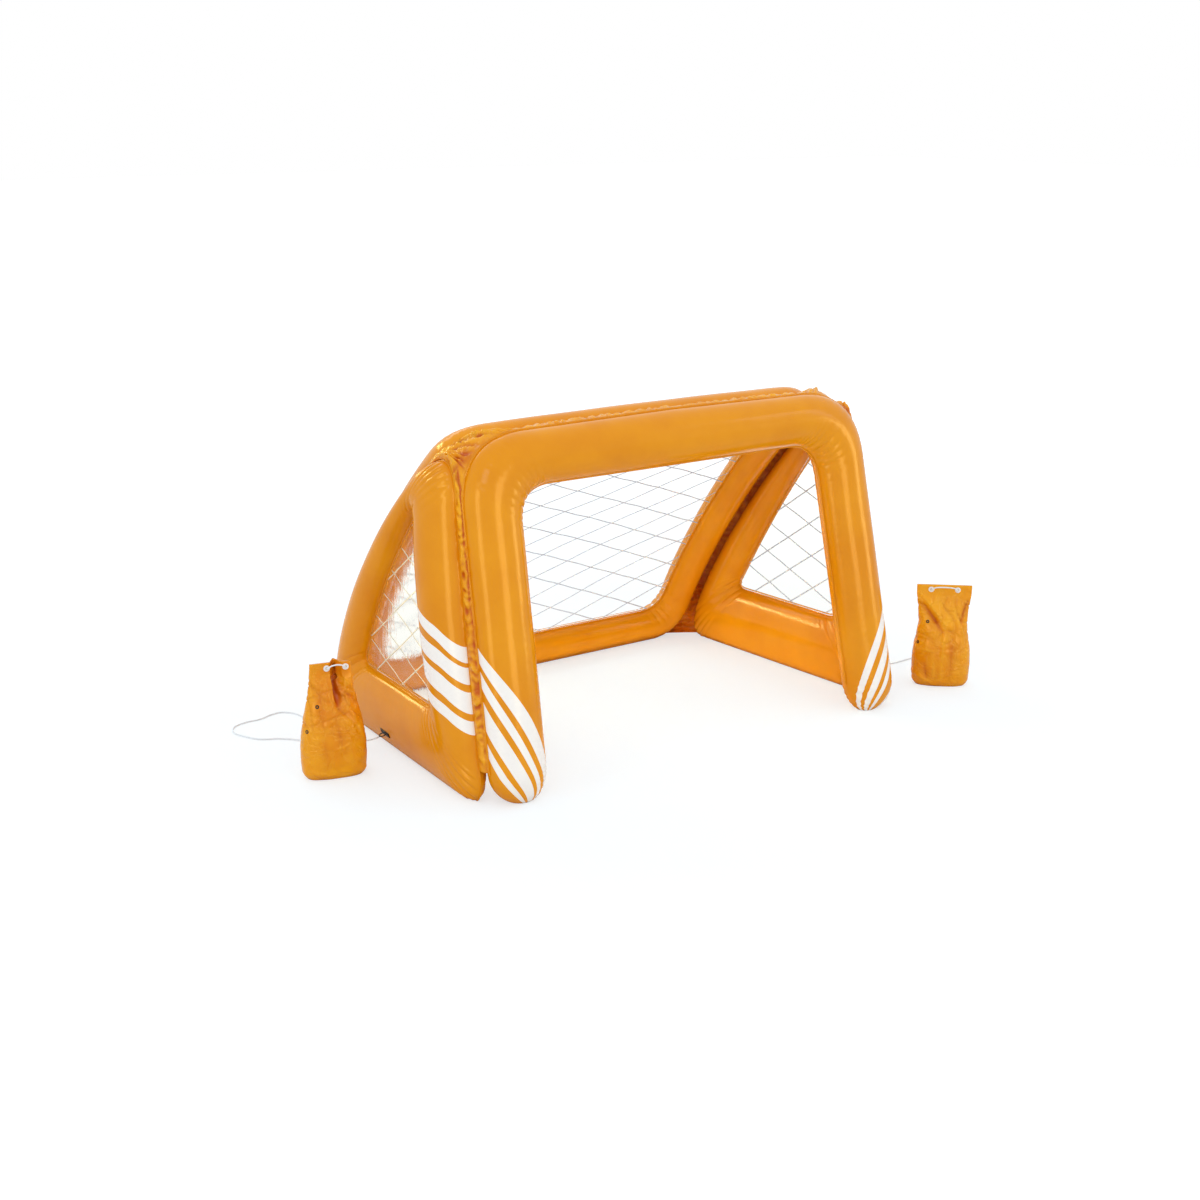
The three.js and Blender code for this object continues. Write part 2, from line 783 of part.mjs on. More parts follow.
const seamEnd = seatGap + half(seamThickness);
const rimGap = 3.2 * seamEnd;
const frontSeamTop = sideTopTaper - seamEnd;
const frontSeamSteps = 16;
const frontSeamHeights = count(frontSeamSteps + 1).map((i) => (
  mix(seamFootHeight, frontSeamTop, i / frontSeamSteps)
));
const legSeam = frontSeamHeights.map((z) => onFront(legEdge(z) + seamEnd, z));
const sideSeam = frontSeamHeights.map((z) => {
  const p = frontEdge(z, sideSet - seamEnd);
  return onSide(p.x, p.y);
});
addPair('front_seam', strip(legSeam, sideSeam, seamRuffle, vec(1, -1).normalize()), deepOrange);

const rearSeamSteps = 18;
const rearSeamRun = count(rearSeamSteps + 1).map((i) => (
  mix(backTopSide + 2 * rimGap, archEnd * profileStep, i / rearSeamSteps)
));
const postSeam = rearSeamRun.map((s) => onBack(backReach(s) + seamEnd, s));
const archSeam = rearSeamRun.map((s) => {
  const p = onBack(0, s, seamEnd - archSet);
  return onSide(p.y, p.z);
});
addPair('rear_seam', strip(postSeam, archSeam, seamRuffle, vec(1, 1).normalize()), deepOrange);

const topSeamHalf = Math.min(
  legEdge(frontHeight) - frontOuterRound,
  backReach(0) - backOuterRound,
) - seamEnd;
const topSeamSteps = 22;
const topSeamAcross = count(topSeamSteps + 1).map((i) => mix(-topSeamHalf, topSeamHalf, i / topSeamSteps));
const barCrown = (x) => {
  const share = Math.abs(x) / (legEdge(frontHeight) - frontOuterRound);
  return frontHeight - half(frontCrown) * share;
};
const barSeam = topSeamAcross.map((x) => onFront(x, barCrown(x) + seamEnd));
const backSeam = topSeamAcross.map((x) => {
  const share = x / (backReach(0) - backOuterRound);
  return onBack(x, -backCrown * (1 - share * share) - seamEnd);
});
add('top_seam', strip(barSeam, backSeam, topRuffle, vec(0, 0, 1)), deepOrange);

// Crinkled webs that close the corners between three panels

const crumple = (r, c) => gussetCrumple * Math.sin(2.3 * c + 1.7 * r) * Math.cos(1.1 * c - 2.1 * r);
function web(edgeA, edgeB, crown, raise) {
  const curveA = new THREE.CatmullRomCurve3(edgeA, false, 'centripetal').getSpacedPoints(webSteps);
  const curveB = new THREE.CatmullRomCurve3(edgeB, false, 'centripetal').getSpacedPoints(webSteps);
  const grid = curveA.map((a, c) => count(webRows + 1).map((r) => {
    const share = r / webRows;
    const lift = 4 * share * (1 - share) * (crown + crumple(r, c));
    return a.clone().lerp(curveB[c], share).addScaledVector(raise, lift);
  }));
  return sheet(grid, seamThickness);
}

function outward(points, distance) {
  return inset(points, -distance);
}
const frontRim = outward(frontLine.map((s) => s.outer), rimGap);
const frontCorner = frontRim.filter((p) => p.x > topSeamHalf && p.y > sideTopTaper);
const sideRim = outward(sideOutline.outer, rimGap);
const sideCorner = sideRim.slice(0, cornerSteps + 1);
const archTurn = onBack(0, backTopSide, rimGap - archSet);
const backRim = outward(backOutline.outer, rimGap);
const backCorner = backRim.slice(0, cornerSteps + 1);
addPair('corner_gusset', web(
  frontCorner.map((p) => onFront(p.x, p.y)),
  [
    ...sideCorner.map((p) => onSide(p.x, p.y)),
    onSide(archTurn.y, archTurn.z),
    ...backCorner.toReversed().map((p) => onBack(p.x, p.y)),
  ],
  cornerCrown,
  vec(1, 0, 2).normalize(),
), deepOrange);

const heelStart = cornerSteps + archEnd - archStart;
const sideHeelRim = outward(sideOutline.outer, seamEnd);
const sideHeel = sideHeelRim.slice(heelStart + 1, heelStart + cornerSteps + 1).filter((p) => p.y > seamEnd);
const lowRim = outward(backOutline.outer, seamEnd);
const backHeelRim = lowRim.slice(rightStations - cornerSteps, rightStations).map((p) => onBack(p.x, p.y));
addPair('rear_gusset', web(
  sideHeel.map((p) => onSide(p.x, p.y)),
  backHeelRim.filter((p) => p.z > seamEnd),
  gussetCrumple,
  vec(1, 1).normalize(),
), deepOrange);

// Valves: a flanged neck on each air chamber, and a plug cap on a hinged strap

const neckTop = valveFlange + valveNeck;
const hingeHeight = neckTop + seatGap + half(capThickness);
function valveBase() {
  const neck = turnedPiece([
    [valveBoreRadius, 0], [valveFlangeRadius, 0], [valveFlangeRadius, valveFlange],
    [valveNeckRadius, valveFlange], [valveNeckRadius, neckTop], [valveBoreRadius, neckTop],
  ]);
  const lugHeight = hingeHeight - half(capThickness) - strapPlay;
  const lug = new THREE.BoxGeometry(half(strapWidth), strapWidth, lugHeight);
  lug.translate(strapReach, 0, half(lugHeight));
  return joined(neck, lug);
}
function valveCap() {
  const under = neckTop + seatGap;
  const plug = turnedPiece([
    [0, under - plugDepth], [plugTip, under - plugDepth], [plugRadius, under],
    [capRadius, under], [capRadius, under + capThickness], [0, under + capThickness],
  ]);
  const length = strapReach + half(capThickness);
  const strap = new THREE.BoxGeometry(length, strapWidth, capThickness);
  strap.translate(half(length), 0, hingeHeight);
  return joined(plug, strap);
}

function addValve(name, line, i, side, place, turn = (geometry) => geometry) {
  const seat = tubeSeat(line, i, side, place);
  add(`${name}_valve`, turn(seated(valveBase(), seat)), valveWhite);
  add(`${name}_valve_cap`, turn(seated(valveCap(), seat)), valveWhite);
}
const outerSide = Math.floor(tubeSides / 4);
const innerSide = tubeSides - 1 - outerSide;
const legValveIndex = 6;
const sillValveIndex = heelStart + cornerSteps + 4;
const backValveIndex = rightStations + 4;
addValve('front_frame', frontLine, legValveIndex, innerSide, onFront, mirrored);
addValve('side_ring_left', sideLine, sillValveIndex, innerSide, onSide, mirrored);
addValve('side_ring_right', sideLine, sillValveIndex, outerSide, onSide);
addValve('back_ring', backLine, backValveIndex, outerSide, onBack);

// Tether loops welded to the foot of each side panel

function tetherLoop() {
  const plate = new THREE.BoxGeometry(loopPlateLength, loopPlateHeight, loopPlate);
  plate.translate(0, 0, half(loopPlate));
  const ring = new THREE.TorusGeometry(loopRadius, half(loopWire), 8, ringSides);
  ring.rotateX(Math.PI / 2).translate(0, 0, loopRadius + half(loopPlate));
  return joined(plate, ring);
}
const loopSeat = tubeSeat(sideLine, heelStart + cornerSteps + 3, 2, onSide);
addPair('tether_loop', seated(tetherLoop(), loopSeat), black);

// Anchor bags: a soft body that narrows upwards to a flat hem, folded inwards on the left one

function bagSection([height, width, depth, square], fold) {
  const rise = THREE.MathUtils.smoothstep(height, foldStartShare, 1);
  const wide = half(bagWidth) * width * (1 - rise * foldSqueezeShare * fold / leftBagFold);
  const shift = (share) => {
    const nearness = Math.max(0, 1 - Math.abs(share - foldMiddleShare) / foldReachShare);
    return rise * fold * nearness;
  };
  const point = (share, side) => {
    const deep = half(bagDepth) * depth * (1 - Math.abs(share) ** square) ** (1 / square);
    return vec(share * wide, side * deep + shift(share), height * bagHeight);
  };
  const front = bagAcrossShares.map((share) => point(share, -1));
  const back = bagAcrossShares.slice(1, -1).toReversed().map((share) => point(share, 1));
  return [...front, ...back];
}

function bagBody(fold) {
  const rings = bagFormShares.map((level) => bagSection(level, fold));
  const n = rings[0].length;
  const last = (rings.length - 1) * n;
  const faces = [];
  for (let r = 0; r < rings.length - 1; r++) {
    for (let i = 0; i < n; i++) {
      const j = (i + 1) % n;
      faces.push([r * n + i, r * n + j, (r + 1) * n + j], [r * n + i, (r + 1) * n + j, (r + 1) * n + i]);
    }
  }
  // The bottom and the hem's rim are closed straight across from front to back.
  const strips = bagAcrossShares.length;
  for (let i = 0; i < strips - 1; i++) {
    const [a, b] = [i, i + 1];
    const [c, d] = [(n - b) % n, (n - a) % n];
    const corners = [[a, b, c], [a, c, d]].filter((f) => new Set(f).size === 3);
    corners.forEach((f) => faces.push([...f].reverse(), f.map((k) => last + k)));
  }
  return body(rings.flat(), faces);
}

// A cord threaded through both grommets, arching above them in front and knotted behind.
function handle(ends, hem) {
  const height = bagHeight - grommetDrop;
  const front = -(hem + seatGap + grommetThickness);
  const bend = handleBendShare * handleDiameter;
  const reach = handleBendShare * bend;
  const behind = hem + seatGap + grommetThickness + seatGap + knotRadius;
  const middle = half(ends[0] + ends[1]);
  const threaded = (x, inward) => [
    vec(x, behind, height),
    vec(x, front, height),
    vec(x + inward * half(bend), front - bend, height + handleRise * handleLiftShares[0]),
    vec(x + inward * 2 * bend, front - reach, height + handleRise * handleLiftShares[1]),
  ];
  const route = [
    ...threaded(ends[0], 1),
    vec(middle, front - reach, height + handleRise),
    ...threaded(ends[1], -1).reverse(),
  ];
  const knots = ends.map((x) => new THREE.IcosahedronGeometry(knotRadius, 1).translate(x, behind, height));
  return joined(cordTube(route, handleDiameter, handleSteps, cordSides), ...knots);
}

function addBag(side, fold, grommetShares, place, turnShare) {
  const set = (geometry) => geometry.rotateZ(2 * Math.PI * turnShare).translate(place.x, place.y, 0);
  const hem = half(bagDepth) * bagFormShares.at(-2)[2];
  const wide = half(bagWidth) * bagFormShares.at(-1)[1] * (1 - foldSqueezeShare * fold / leftBagFold);
  const holes = grommetShares.map((share) => share * wide);
  const rings = bagFormShares.map((level) => bagSection(level, fold));
  let shell = toManifold(bagBody(fold));
  holes.forEach((x) => {
    const drill = new THREE.CylinderGeometry(grommetHole, grommetHole, 2 * bagDepth, ringSides);
    shell = shell.subtract(toManifold(drill.translate(x, 0, bagHeight - grommetDrop)));
  });
  add(`anchor_bag_${side}`, set(fromManifold(shell)), orange);
  holes.forEach((x, i) => {
    const ring = washer(grommetRadius, grommetHole, grommetThickness).rotateX(Math.PI / 2);
    ring.translate(0, -(hem + seatGap), 0);
    const back = ring.clone().rotateZ(Math.PI);
    const lift = bagHeight - grommetDrop;
    add(`grommet_${side}_front_${i + 1}`, set(ring.translate(x, 0, lift)), white);
    add(`grommet_${side}_back_${i + 1}`, set(back.translate(x, 0, lift)), white);
  });
  add(`handle_cord_${side}`, set(handle(holes, hem)), white);
  const seatAt = (level, column) => {
    const [low, high] = [rings[level], rings[level + 1]];
    const corner = [low[column], low[column + 1], high[column + 1], high[column]];
    return seatOn(corner, vec(0, 0, corner[0].z));
  };
  add(`eyelet_${side}_upper`, set(seated(eyelet(), seatAt(6, 2))), black);
  add(`eyelet_${side}_lower`, set(seated(eyelet(), seatAt(4, 1))), black);
  const anchor = seatAt(1, 15);
  const end = anchor.middle.clone().addScaledVector(anchor.normal, seatGap);
  return [end, end.clone().addScaledVector(anchor.normal, 3 * cordDiameter)].map((p) => (
    p.applyAxisAngle(vec(0, 0, 1), 2 * Math.PI * turnShare).add(vec(place.x, place.y))
  ));
}
const eyelet = () => washer(eyeletRadius, eyeletHole, eyeletThickness);
const leftAnchor = addBag('left', leftBagFold, leftGrommetShares, leftBagPlace, leftBagTurnShare);
const rightAnchor = addBag('right', 0, rightGrommetShares, rightBagPlace, rightBagTurnShare);

// Tether cords: from each loop, over the floor in a slack bend, to the back of its bag

const leftRoute = [
  [-668, 62], [-676, 130], [-684, 200], [-689, 270], [-692, 335], [-699, 376], [-722, 402], [-750, 401],
  [-785, 387], [-831, 385], [-864, 370], [-880, 335], [-868, 292], [-845, 255], [-806, 232], [-776, 200],
  [-758, 150], [-762, 95],
];
const rightRoute = [
  [676, 62], [690, 118], [716, 176], [757, 204], [792, 182], [800, 130], [782, 68], [758, 5], [748, -60],
  [758, -125], [784, -178], [818, -206], [858, -208], [898, -206], [934, -214], [950, -245], [936, -282],
  [908, -310],
];
function tether(side, route, anchor, loop) {
  const tip = loop.middle.clone().addScaledVector(loop.normal, loopStand);
  const start = [tip, tip.clone().addScaledVector(loop.normal, 2 * cordDiameter)];
  const onFloor = route.map(([x, y], i) => {
    const fromLoop = start[1].z * (dropShares[i] ?? 0);
    const toBag = anchor[1].z * (dropShares[route.length - 1 - i] ?? 0);
    return vec(x, y, half(cordDiameter) + 2 * seatGap + fromLoop + toBag);
  });
  const points = [...start, ...onFloor, ...anchor.toReversed()];
  add(`tether_cord_${side}`, cordTube(points, cordDiameter, cordSteps, cordSides), white);
}
const loopStand = seatGap + half(loopPlate) + 2 * loopRadius + half(loopWire) + seatGap;
const leftLoop = {
  middle: loopSeat.middle.clone().setX(-loopSeat.middle.x),
  normal: loopSeat.normal.clone().setX(-loopSeat.normal.x),
};
tether('left', leftRoute, leftAnchor, leftLoop);
tether('right', rightRoute, rightAnchor, loopSeat);

// The frame's origin is the middle of the underside of everything but the tether cords.

const extent = new THREE.Box3();
goal.children.filter((mesh) => !mesh.name.startsWith('tether_cord')).forEach((mesh) => {
  extent.expandByObject(mesh);
});
const middle = extent.getCenter(vec(0, 0));
goal.position.set(-middle.x, -middle.y, -extent.min.z);

export default goal;
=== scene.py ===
"""Looks of the inflatable pool goal: air chambers, net windows, crinkled webs, anchor bags and cords."""
import math

import bmesh
import bpy
import numpy as np
from mathutils import Matrix, Vector, noise


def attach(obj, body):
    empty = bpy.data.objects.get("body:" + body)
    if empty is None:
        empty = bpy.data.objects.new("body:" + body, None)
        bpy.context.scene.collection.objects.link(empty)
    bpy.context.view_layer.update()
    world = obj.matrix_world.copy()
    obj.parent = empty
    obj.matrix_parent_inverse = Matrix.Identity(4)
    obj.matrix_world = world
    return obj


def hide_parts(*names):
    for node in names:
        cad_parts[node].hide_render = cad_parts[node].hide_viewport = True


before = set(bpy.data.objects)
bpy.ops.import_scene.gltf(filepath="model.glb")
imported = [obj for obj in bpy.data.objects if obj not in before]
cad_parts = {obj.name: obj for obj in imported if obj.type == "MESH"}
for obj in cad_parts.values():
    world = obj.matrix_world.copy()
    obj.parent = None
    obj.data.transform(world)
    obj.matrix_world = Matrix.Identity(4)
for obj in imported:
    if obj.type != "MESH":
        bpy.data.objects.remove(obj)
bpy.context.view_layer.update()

# Sizes of the goal in millimetres, in its own frame, the same as the CAD source's
ROW_SHIFT = np.array([-6.205, 16.548, 0.0])
FRONT_HEIGHT, FRONT_FOOT, FRONT_LEAN = 801.0, 429.0, 170.0
FRONT_HALF, FRONT_TOP_HALF = 602.0, 574.0
LEG_TUBE, BAR_TUBE, FRONT_THICK, FRONT_CROWN = 139.0, 124.0, 113.0, 9.0
FRONT_ROUND, MOUTH_ROUND, FOOT_TAPER, FOOT_TIP = 165.0, 88.0, 72.0, 0.4
SIDE_HALF, SIDE_TOP_HALF, SIDE_TOE_IN, SIDE_BOW = 614.0, 585.0, 50.0, 30.0
SIDE_THICK, SIDE_FRONT_TUBE, SIDE_SET, ARCH_SET = 84.0, 150.0, 25.0, 28.0
SIDE_TAPER, SILL, APEX, WINDOW_HEEL = 672.0, 168.0, 630.0, 192.0
WINDOW_BOW, WINDOW_ROUND, HEEL_ROUND, TOE_ROUND = 12.0, 48.0, 90.0, 70.0
SEAM_WIDTH, SEAM_DROP, BACK_CROWN, BACK_FOOT = 64.0, 23.0, 12.0, 388.0
SHOULDER, HEEL_PULL = (180.0, 98.0), (26.0, 252.0)
BACK_THICK, POST_TUBE, BACK_TOP_TUBE, BACK_LOW_TUBE = 94.0, 94.0, 100.0, 95.0
BACK_ROUND, BACK_TOP_INNER, BACK_LOW_INNER, CORNER_SET = 120.0, 40.0, 66.0, 28.0
SQUASH, SEAM_END = 6.0, 1.05
FILM_THICK, NET_THICK, NET_LINE, NET_BORDER, GAP = 1.0, 0.8, 3.4, 4.0, 0.35
CORD, HANDLE, KNOT = 4.0, 3.4, 5.0
BAG_WIDTH, BAG_DEPTH, BAG_HEIGHT = 152.0, 92.0, 272.0
LOOP_RADIUS, LOOP_WIRE = 8, 1.2
NECK_TOP, HINGE = 10.6, 10.6 + GAP + 1.0

# Sizes that only the looks have
LIP_THICK, WEB_THICK = 1.8, 1.4
VALVE_SINK, VALVE_ASIDE = 1.94, 1.03
SIDES = {"left": -1, "right": 1}
FLIP = np.array([-1, 1])


def unit(v):
    v = np.asarray(v, float)
    return v / np.linalg.norm(v, axis=-1, keepdims=True)


def row(points):
    """Points of the goal's own frame, in millimetres, as metres in the row frame."""
    return (np.asarray(points, float) + ROW_SHIFT) / 1000


def smoothstep(low, high, x):
    t = np.clip((x - low) / (high - low), 0, 1)
    return t * t * (3 - 2 * t)


def stack(x, y, z):
    return np.stack(np.broadcast_arrays(x, y, z), -1).astype(float)


def circle(sides):
    return 2 * np.pi * np.arange(sides) / sides


def new_object(name, data):
    made = bpy.data.objects.new(name, data)
    bpy.context.collection.objects.link(made)
    return made


# Camera at the photograph's viewing angle, as fitted in the photograph's pixels
PHOTO_SIZE, PHOTO_FOCAL, SENSOR, VIEW_LIMIT = 1200, 1723.6, 36, 200
PHOTO_PLACE = (-2430.5, -3441.8, 1504.8)
PHOTO_AXES = [(0.8183, -0.5748, -0.0008), (0.1618, 0.2289, 0.9599), (-0.5516, -0.7856, 0.2803)]


def add_camera():
    data = bpy.data.cameras.new("photo_camera")
    data.sensor_width, data.clip_end = SENSOR, VIEW_LIMIT
    data.lens = PHOTO_FOCAL / PHOTO_SIZE * SENSOR
    camera = new_object("photo_camera", data)
    place = Matrix(PHOTO_AXES).transposed().to_4x4()
    place.translation = Vector(row(PHOTO_PLACE))
    camera.matrix_world = place
    bpy.context.scene.camera = camera


add_camera()

# The three surfaces that the panels lie in
LEAN = FRONT_LEAN / FRONT_HEIGHT
FRONT_OUT = unit((0, -1, LEAN))
TOE_SLOPE = SIDE_TOE_IN / (FRONT_FOOT + BACK_FOOT)
SPLAY_SLOPE = (SIDE_HALF - SIDE_TOP_HALF) / FRONT_HEIGHT
SIDE_OUT = unit((1, TOE_SLOPE, SPLAY_SLOPE))
LEG_SPLAY = (FRONT_HALF - FRONT_TOP_HALF) / FRONT_HEIGHT


def front_line(z):
    return z * LEAN - FRONT_FOOT


def on_front(x, height, out=0.0):
    return stack(x, front_line(height), height) + FRONT_OUT * np.asarray(out, float)[..., None]


def side_reach(y, z):
    share = z / FRONT_HEIGHT
    bow = 4 * SIDE_BOW * share * (1 - share)
    behind = np.clip((y - front_line(z)) / SIDE_FRONT_TUBE, 0, 1)
    behind = behind * (2 - behind) * 0.5 + behind * 0.5
    return SIDE_HALF + bow * behind - TOE_SLOPE * (y + FRONT_FOOT) - SPLAY_SLOPE * z


def on_side(y, z, out=0.0):
    return stack(side_reach(y, z), y, z) + SIDE_OUT * np.asarray(out, float)[..., None]


def back_profile():
    """The back's curve from behind the bar to the floor, as a Bezier curve in even steps."""
    top = np.array((front_line(FRONT_HEIGHT) + SEAM_WIDTH, FRONT_HEIGHT - SEAM_DROP))
    heel = np.array((BACK_FOOT, -SQUASH))
    a = top + (SHOULDER[0], -SHOULDER[1])
    b = heel + (-HEEL_PULL[0], HEEL_PULL[1])
    t = np.linspace(0, 1, 3001)[:, None]
    curve = (1 - t) ** 3 * top + 3 * t * (1 - t) ** 2 * a + 3 * t * t * (1 - t) * b + t**3 * heel
    arc = np.r_[0, np.cumsum(np.linalg.norm(np.diff(curve, axis=0), axis=1))]
    even = np.linspace(0, 1, 601)
    return np.stack([np.interp(even, arc / arc[-1], curve[:, k]) for k in (0, 1)], 1)


# The source cuts the back's curve into twelve steps, each of fifty of these points
BACK_STEPS, STEP_POINTS = 12, 50
PROFILE = back_profile()
PROFILE_STEP = np.linalg.norm(PROFILE[STEP_POINTS] - PROFILE[0])
BACK_LENGTH = BACK_STEPS * PROFILE_STEP
ALONG = unit(np.gradient(PROFILE, axis=0))


def profile_at(run):
    """Point and outward direction on the back's curve, going straight on beyond its ends."""
    last = len(PROFILE) - 1
    place = np.asarray(run, float) / BACK_LENGTH * last
    inside = np.clip(place, 0, last)
    ticks = np.arange(last + 1)
    y, z, dy, dz = (np.interp(inside, ticks, line[:, k]) for line in (PROFILE, ALONG) for k in (0, 1))
    beyond = (place - inside) / last * BACK_LENGTH
    return y + dy * beyond, z + dz * beyond, -dz, dy


def on_back(x, run, out=0.0):
    y, z, ny, nz = profile_at(run)
    return stack(x, y + ny * out, z + nz * out)


def back_reach(run):
    y, z, _, _ = profile_at(run)
    return side_reach(y, z) - CORNER_SET


def laid(place, points):
    """Flat points laid on one of the surfaces."""
    return place(points[:, 0], points[:, 1])


# Outlines of the panels


def rounded(a, via, b, steps):
    t = np.linspace(0, 1, steps + 1)[:, None]
    return (1 - t) ** 2 * np.array(a) + 2 * t * (1 - t) * np.array(via) + t * t * np.array(b)


def between(a, b, steps, bow=0.0):
    """The inner points of a line of even steps, bowed aside in its middle."""
    a, b = np.array(a, float), np.array(b, float)
    t = (np.arange(1, steps) / steps)[:, None]
    return a + (b - a) * t + unit((a[1] - b[1], b[0] - a[0])) * 4 * bow * t * (1 - t)


def meeting(p, along_p, q, along_q):
    cross = along_p[0] * along_q[1] - along_p[1] * along_q[0]
    gap = np.subtract(q, p)
    return np.add(p, np.multiply(along_p, (gap[0] * along_q[1] - gap[1] * along_q[0]) / cross))


def inset(points, distance):
    """A closed outline moved inwards, or outwards by a distance below 0."""
    points = np.asarray(points, float)
    before, after = np.roll(points, 1, 0), np.roll(points, -1, 0)
    turn = np.sign(np.sum(points[:, 0] * after[:, 1] - after[:, 0] * points[:, 1]))
    a, b = unit(points - before), unit(after - points)
    normal = unit(np.stack([-(a[:, 1] + b[:, 1]), a[:, 0] + b[:, 0]], 1))
    spread = np.maximum(-a[:, 1] * normal[:, 0] + a[:, 0] * normal[:, 1], 0.5)
    return points + normal * (turn * distance / spread)[:, None]


def leg_edge(height):
    return FRONT_HALF - LEG_SPLAY * height


def mouth_edge(height):
    return FRONT_HALF - LEG_TUBE - LEG_SPLAY * height


def front_stations(leg, corner, bar, shares):
    """The front frame's outer and inner edge from foot to foot, and how far it swells between them."""
    mouth, top = FRONT_HEIGHT - BAR_TUBE, FRONT_HEIGHT - FRONT_CROWN

    def half(edge, bend, level, radius, rise, crown):
        foot, low = (edge(FOOT_TAPER), FOOT_TAPER), (edge(bend), bend)
        turn = rounded(low, (edge(level), level), (edge(level) - radius, level + rise), corner)
        across = between(turn[-1], (0, crown), bar)
        return np.vstack([[foot], between(foot, low, leg), turn, across, [(0, crown)]])

    share = np.asarray(shares)
    height = FOOT_TAPER - share * (FOOT_TAPER + SQUASH)
    keep = np.sqrt(1 - share * share)
    tip = mouth_edge(height) + FOOT_TIP * (leg_edge(height) - mouth_edge(height))

    def whole(edge, line):
        foot = np.stack([tip + (edge(height) - tip) * keep, height], 1)
        return np.vstack([foot, line, line[-2::-1] * FLIP, foot[::-1] * FLIP])

    outer = half(leg_edge, FRONT_HEIGHT - FRONT_ROUND, top, FRONT_ROUND, FRONT_CROWN / 2, FRONT_HEIGHT)
    inner = half(mouth_edge, mouth - MOUTH_ROUND, mouth, MOUTH_ROUND, 0, mouth)
    swell = np.r_[keep, np.ones(2 * len(outer) - 1), keep[::-1]] * FRONT_THICK / 2
    return whole(leg_edge, outer), whole(mouth_edge, inner), swell


def back_outline(corner, posts, across):
    """The back ring's outer and inner edge, in places across the back and runs down its curve."""
    def closed(reach, top, top_round, low, low_round, crown):
        def turn(level, radius, way):
            side = level + way * radius
            points = [(reach(level) - radius, level), (reach(level), level), (reach(side), side)]
            return rounded(*points[::way], corner)

        post = np.stack([reach(posts), posts], 1)
        right = np.vstack([turn(top, top_round, 1), post, turn(low, low_round, -1)])
        left = right[::-1] * FLIP
        return np.vstack([
            right, between(right[-1], left[0], across), left, between(left[-1], right[0], across, crown),
        ])

    def inner_reach(run):
        return back_reach(run) - POST_TUBE

    return (
        closed(back_reach, 0, BACK_ROUND, BACK_LENGTH, BACK_ROUND, -BACK_CROWN),
        closed(inner_reach, BACK_TOP_TUBE, BACK_TOP_INNER, BACK_LENGTH - BACK_LOW_TUBE, BACK_LOW_INNER, 0.0),
    )


def front_edge(z, behind):
    return np.stack(np.broadcast_arrays(front_line(np.asarray(z)) + behind, z), -1)


def arch(run):
    y, z, ny, nz = profile_at(run)
    return np.stack([y - ny * ARCH_SET, z - nz * ARCH_SET], -1)


def arch_along(run):
    _, _, ny, nz = profile_at(run)
    return np.array((nz, -ny))


ARCH_START = PROFILE_STEP
ARCH_END = PROFILE_STEP * max(i for i in range(BACK_STEPS + 1) if PROFILE[STEP_POINTS * i][1] > HEEL_ROUND)


def side_outline(corner, arches, sill, front):
    """The side ring's outer and inner edge, in places from front to back and heights."""
    lean_along = unit((LEAN, 1))
    top = front_edge(SIDE_TAPER, SIDE_SET)
    top_via = meeting(front_edge(0, SIDE_SET), lean_along, arch(ARCH_START), arch_along(ARCH_START))
    heel_via = meeting(arch(ARCH_END), arch_along(ARCH_END), (0, -SQUASH), (1, 0))
    toe_via = front_edge(-SQUASH, SIDE_SET)
    outer_top = rounded(top, top_via, arch(ARCH_START), corner)
    outer_heel = rounded(arch(ARCH_END), heel_via, (heel_via[0] - HEEL_ROUND, heel_via[1]), corner)
    outer_toe = rounded((toe_via[0] + TOE_ROUND, toe_via[1]), toe_via, front_edge(TOE_ROUND, SIDE_SET), corner)
    behind, r = SIDE_SET + SIDE_FRONT_TUBE, WINDOW_ROUND
    apex, heel, toe = front_edge(APEX, behind), np.array((WINDOW_HEEL, SILL)), front_edge(SILL, behind)
    slope = unit(heel - apex)
    inner_top = rounded(apex - lean_along * r, apex, apex + slope * r, corner)
    inner_heel = rounded(heel - slope * r, heel, (heel[0] - r, heel[1]), corner)
    inner_toe = rounded((toe[0] + r, toe[1]), toe, toe + lean_along * r, corner)
    runs = np.linspace(ARCH_START, ARCH_END, arches + 1)[1:-1]
    return tuple(np.vstack([
        turn_top, down, turn_heel, between(turn_heel[-1], turn_toe[0], sill), turn_toe,
        between(turn_toe[-1], turn_top[0], front),
    ]) for turn_top, down, turn_heel, turn_toe in (
        (outer_top, arch(runs), outer_heel, outer_toe),
        (inner_top, between(inner_top[-1], inner_heel[0], arches, WINDOW_BOW), inner_heel, inner_toe),
    ))


# Meshes


def grid_faces(rows, columns, wrap_rows=False, wrap_columns=False):
    r = np.arange(rows if wrap_rows else rows - 1)
    c = np.arange(columns if wrap_columns else columns - 1)
    r, c = (g.ravel() for g in np.meshgrid(r, c, indexing="ij"))
    r2, c2 = (r + 1) % rows, (c + 1) % columns
    return np.stack([r * columns + c, r2 * columns + c, r2 * columns + c2, r * columns + c2], 1).tolist()


